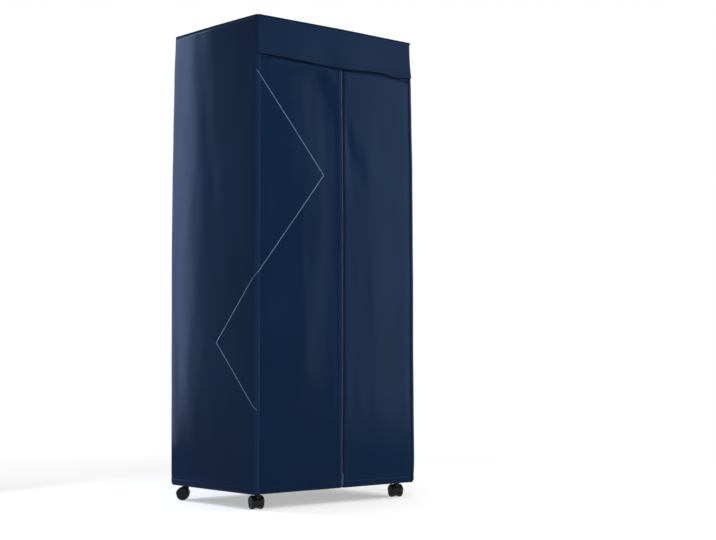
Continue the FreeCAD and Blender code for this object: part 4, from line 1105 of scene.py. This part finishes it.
def digitPiece():
    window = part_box("display_window")
    middle = 0.5 * (window[0] + window[1])
    points, faces = [], []
    for k, dark in enumerate(digit["unlit"]):
        left = middle.x + (k - 0.5) * (digit["width"] + digit["gap"]) - digit["width"] / 2
        for name, (across, up) in bars.items():
            if name == dark:
                continue
            lying = name in ("top", "middle", "bottom")
            length = (digit["width"] if lying else digit["height"] / 2) / 2 - digit["barEnd"] * digit["bar"]
            halfX, halfZ = (length, digit["bar"] / 2) if lying else (digit["bar"] / 2, length)
            x = left + across * digit["width"] + halfX * np.array([-1, 1, 1, -1])
            z = middle.z + (up - 0.5) * digit["height"] + halfZ * np.array([-1, -1, 1, 1])
            ring = np.column_stack([x, np.full(4, window[0].y), z])
            start = 4 * len(points)
            points += [ring - [0, digit["relief"], 0], ring + [0, digit["relief"], 0]]
            faces.append(list(range(start, start + 4)))
            for i in range(4):
                j = (i + 1) % 4
                faces.append([start + i, start + 4 + i, start + 4 + j, start + j])
    piece = meshPiece("display_digits", np.concatenate(points), faces, smooth=False)
    dress(piece, "heater", "smoked_window", litSegments())


digitPiece()
print("display made")


# the photograph's own viewpoint, with its focal length in pixels
viewpoint = {
    "focalPixels": 1473.6,
    "imageWidth": 716,
    "sensor": 36.0,
    "place": (-3.3209, -4.1646, 0.5364),
    "yaw": 41.092,
    "pitch": 3.054,
}


def makeCamera():
    data = bpy.data.cameras.new("camera")
    data.sensor_width = viewpoint["sensor"]
    data.lens = viewpoint["focalPixels"] * viewpoint["sensor"] / viewpoint["imageWidth"]
    camera = bpy.data.objects.new("camera", data)
    camera.location = viewpoint["place"]
    camera.rotation_euler = (math.radians(90 + viewpoint["pitch"]), 0, math.radians(-viewpoint["yaw"]))
    bpy.context.scene.collection.objects.link(camera)
    bpy.context.scene.camera = camera


def softbox(name, place, aim, size, power, shape="RECTANGLE", colour="ffffff", mirrored=True):
    # a flat lamp that the camera looks through
    data = bpy.data.lights.new(name, "AREA")
    data.shape = shape
    data.size, data.size_y = size
    data.energy = power
    data.color = linearColour(colour)[:3]
    lamp = bpy.data.objects.new(name, data)
    lamp.visible_camera = False
    lamp.visible_glossy = mirrored
    lamp.location = place
    x, y, z = np.array(aim) - np.array(place)
    lamp.rotation_euler = (math.atan2(math.hypot(x, y), -z), 0, math.atan2(y, x) - math.pi / 2)
    bpy.context.scene.collection.objects.link(lamp)


def makeLamps():
    softbox("key", (-2.0, -3.6, 3.2), (0, 0, 0.9), (2.4, 2.4), 102, mirrored=False)
    softbox("right_panel", (2.04, -1.99, 1.14), (0.35, -0.25, 1.0), (0.86, 2.0), 41)
    softbox("upper_panel", (1.6, -2.0, 2.45), (0.1, -0.25, 1.5), (1.8, 0.9), 17)
    softbox("rear_strip", (-0.66, 0.75, 1.08), (-0.36, 0.2, 1.0), (0.24, 1.9), 17.5, "ELLIPSE", "ccdfff")
    softbox("overhead", (0.3, 0.4, 4.2), (0, 0, 0), (3.0, 3.0), 60)


studio = {
    "white": linearColour("ffffff"),
    "softLevel": 0.55,
    "floorMatt": linearColour("f2f2f2"),
    "floorHalf": 14.0,
    "near": 0.9,
    "far": 2.6,
    "nearShare": 0.42,
}


def seenOrMirrored(owner):
    # 1 for rays from the camera, a reflection or through glass, and 0 for the rest
    path = addNode(owner, "ShaderNodeLightPath")
    seen = addMath(owner, "MAXIMUM", (path, "Is Camera Ray"), (path, "Is Glossy Ray"))
    return addMath(owner, "MAXIMUM", seen, (path, "Is Transmission Ray"))


def makeWorld():
    # white where the camera, a reflection or glass looks past the object, and a plain level for soft light
    world = bpy.data.worlds.new("studio")
    world.use_nodes = True
    world.node_tree.nodes.clear()
    soft = addNode(world, "ShaderNodeBackground", {"Color": studio["white"], "Strength": studio["softLevel"]})
    full = addNode(world, "ShaderNodeBackground", {"Color": studio["white"], "Strength": 1.0})
    mix = addNode(world, "ShaderNodeMixShader", links={
        "Fac": seenOrMirrored(world), 1: (soft, "Background"), 2: (full, "Background"),
    })
    addNode(world, "ShaderNodeOutputWorld", links={"Surface": (mix, "Shader")})
    bpy.context.scene.world = world


def makeFloor():
    # a white sweep that keeps the shadow: part of it shines to the camera and reflections, the rest is matt
    corners = studio["floorHalf"] * np.array([[-1, -1, 0], [1, -1, 0], [1, 1, 0], [-1, 1, 0]])
    floor = meshPiece("floor", corners, [[0, 1, 2, 3]], smooth=False)
    material = bpy.data.materials.new("whiteSweep")
    material.use_nodes = True
    material.node_tree.nodes.clear()
    # the share that shines grows with the distance from the object, so the floor meets the background unseen
    place = addNode(material, "ShaderNodeTexCoord")
    reach = addNode(material, "ShaderNodeVectorMath", {"operation": "LENGTH"}, {0: (place, "Object")})
    spread = addRange(material, (reach, "Value"), studio["near"], studio["far"], studio["nearShare"], 1.0)
    spread[0].interpolation_type = "SMOOTHSTEP"
    share = addMath(material, "MULTIPLY", seenOrMirrored(material), spread)
    matt = addNode(material, "ShaderNodeBsdfDiffuse", {"Color": studio["floorMatt"]})
    glow = addNode(material, "ShaderNodeEmission", {"Color": studio["white"], "Strength": 1.0})
    mix = addNode(material, "ShaderNodeMixShader", links={
        "Fac": share, 1: (matt, "BSDF"), 2: (glow, "Emission"),
    })
    addNode(material, "ShaderNodeOutputMaterial", links={"Surface": (mix, "Shader")})
    floor.data.materials.append(material)


makeCamera()
makeLamps()
makeWorld()
makeFloor()
bpy.context.scene.view_settings.view_transform = "Standard"
print("stage made")
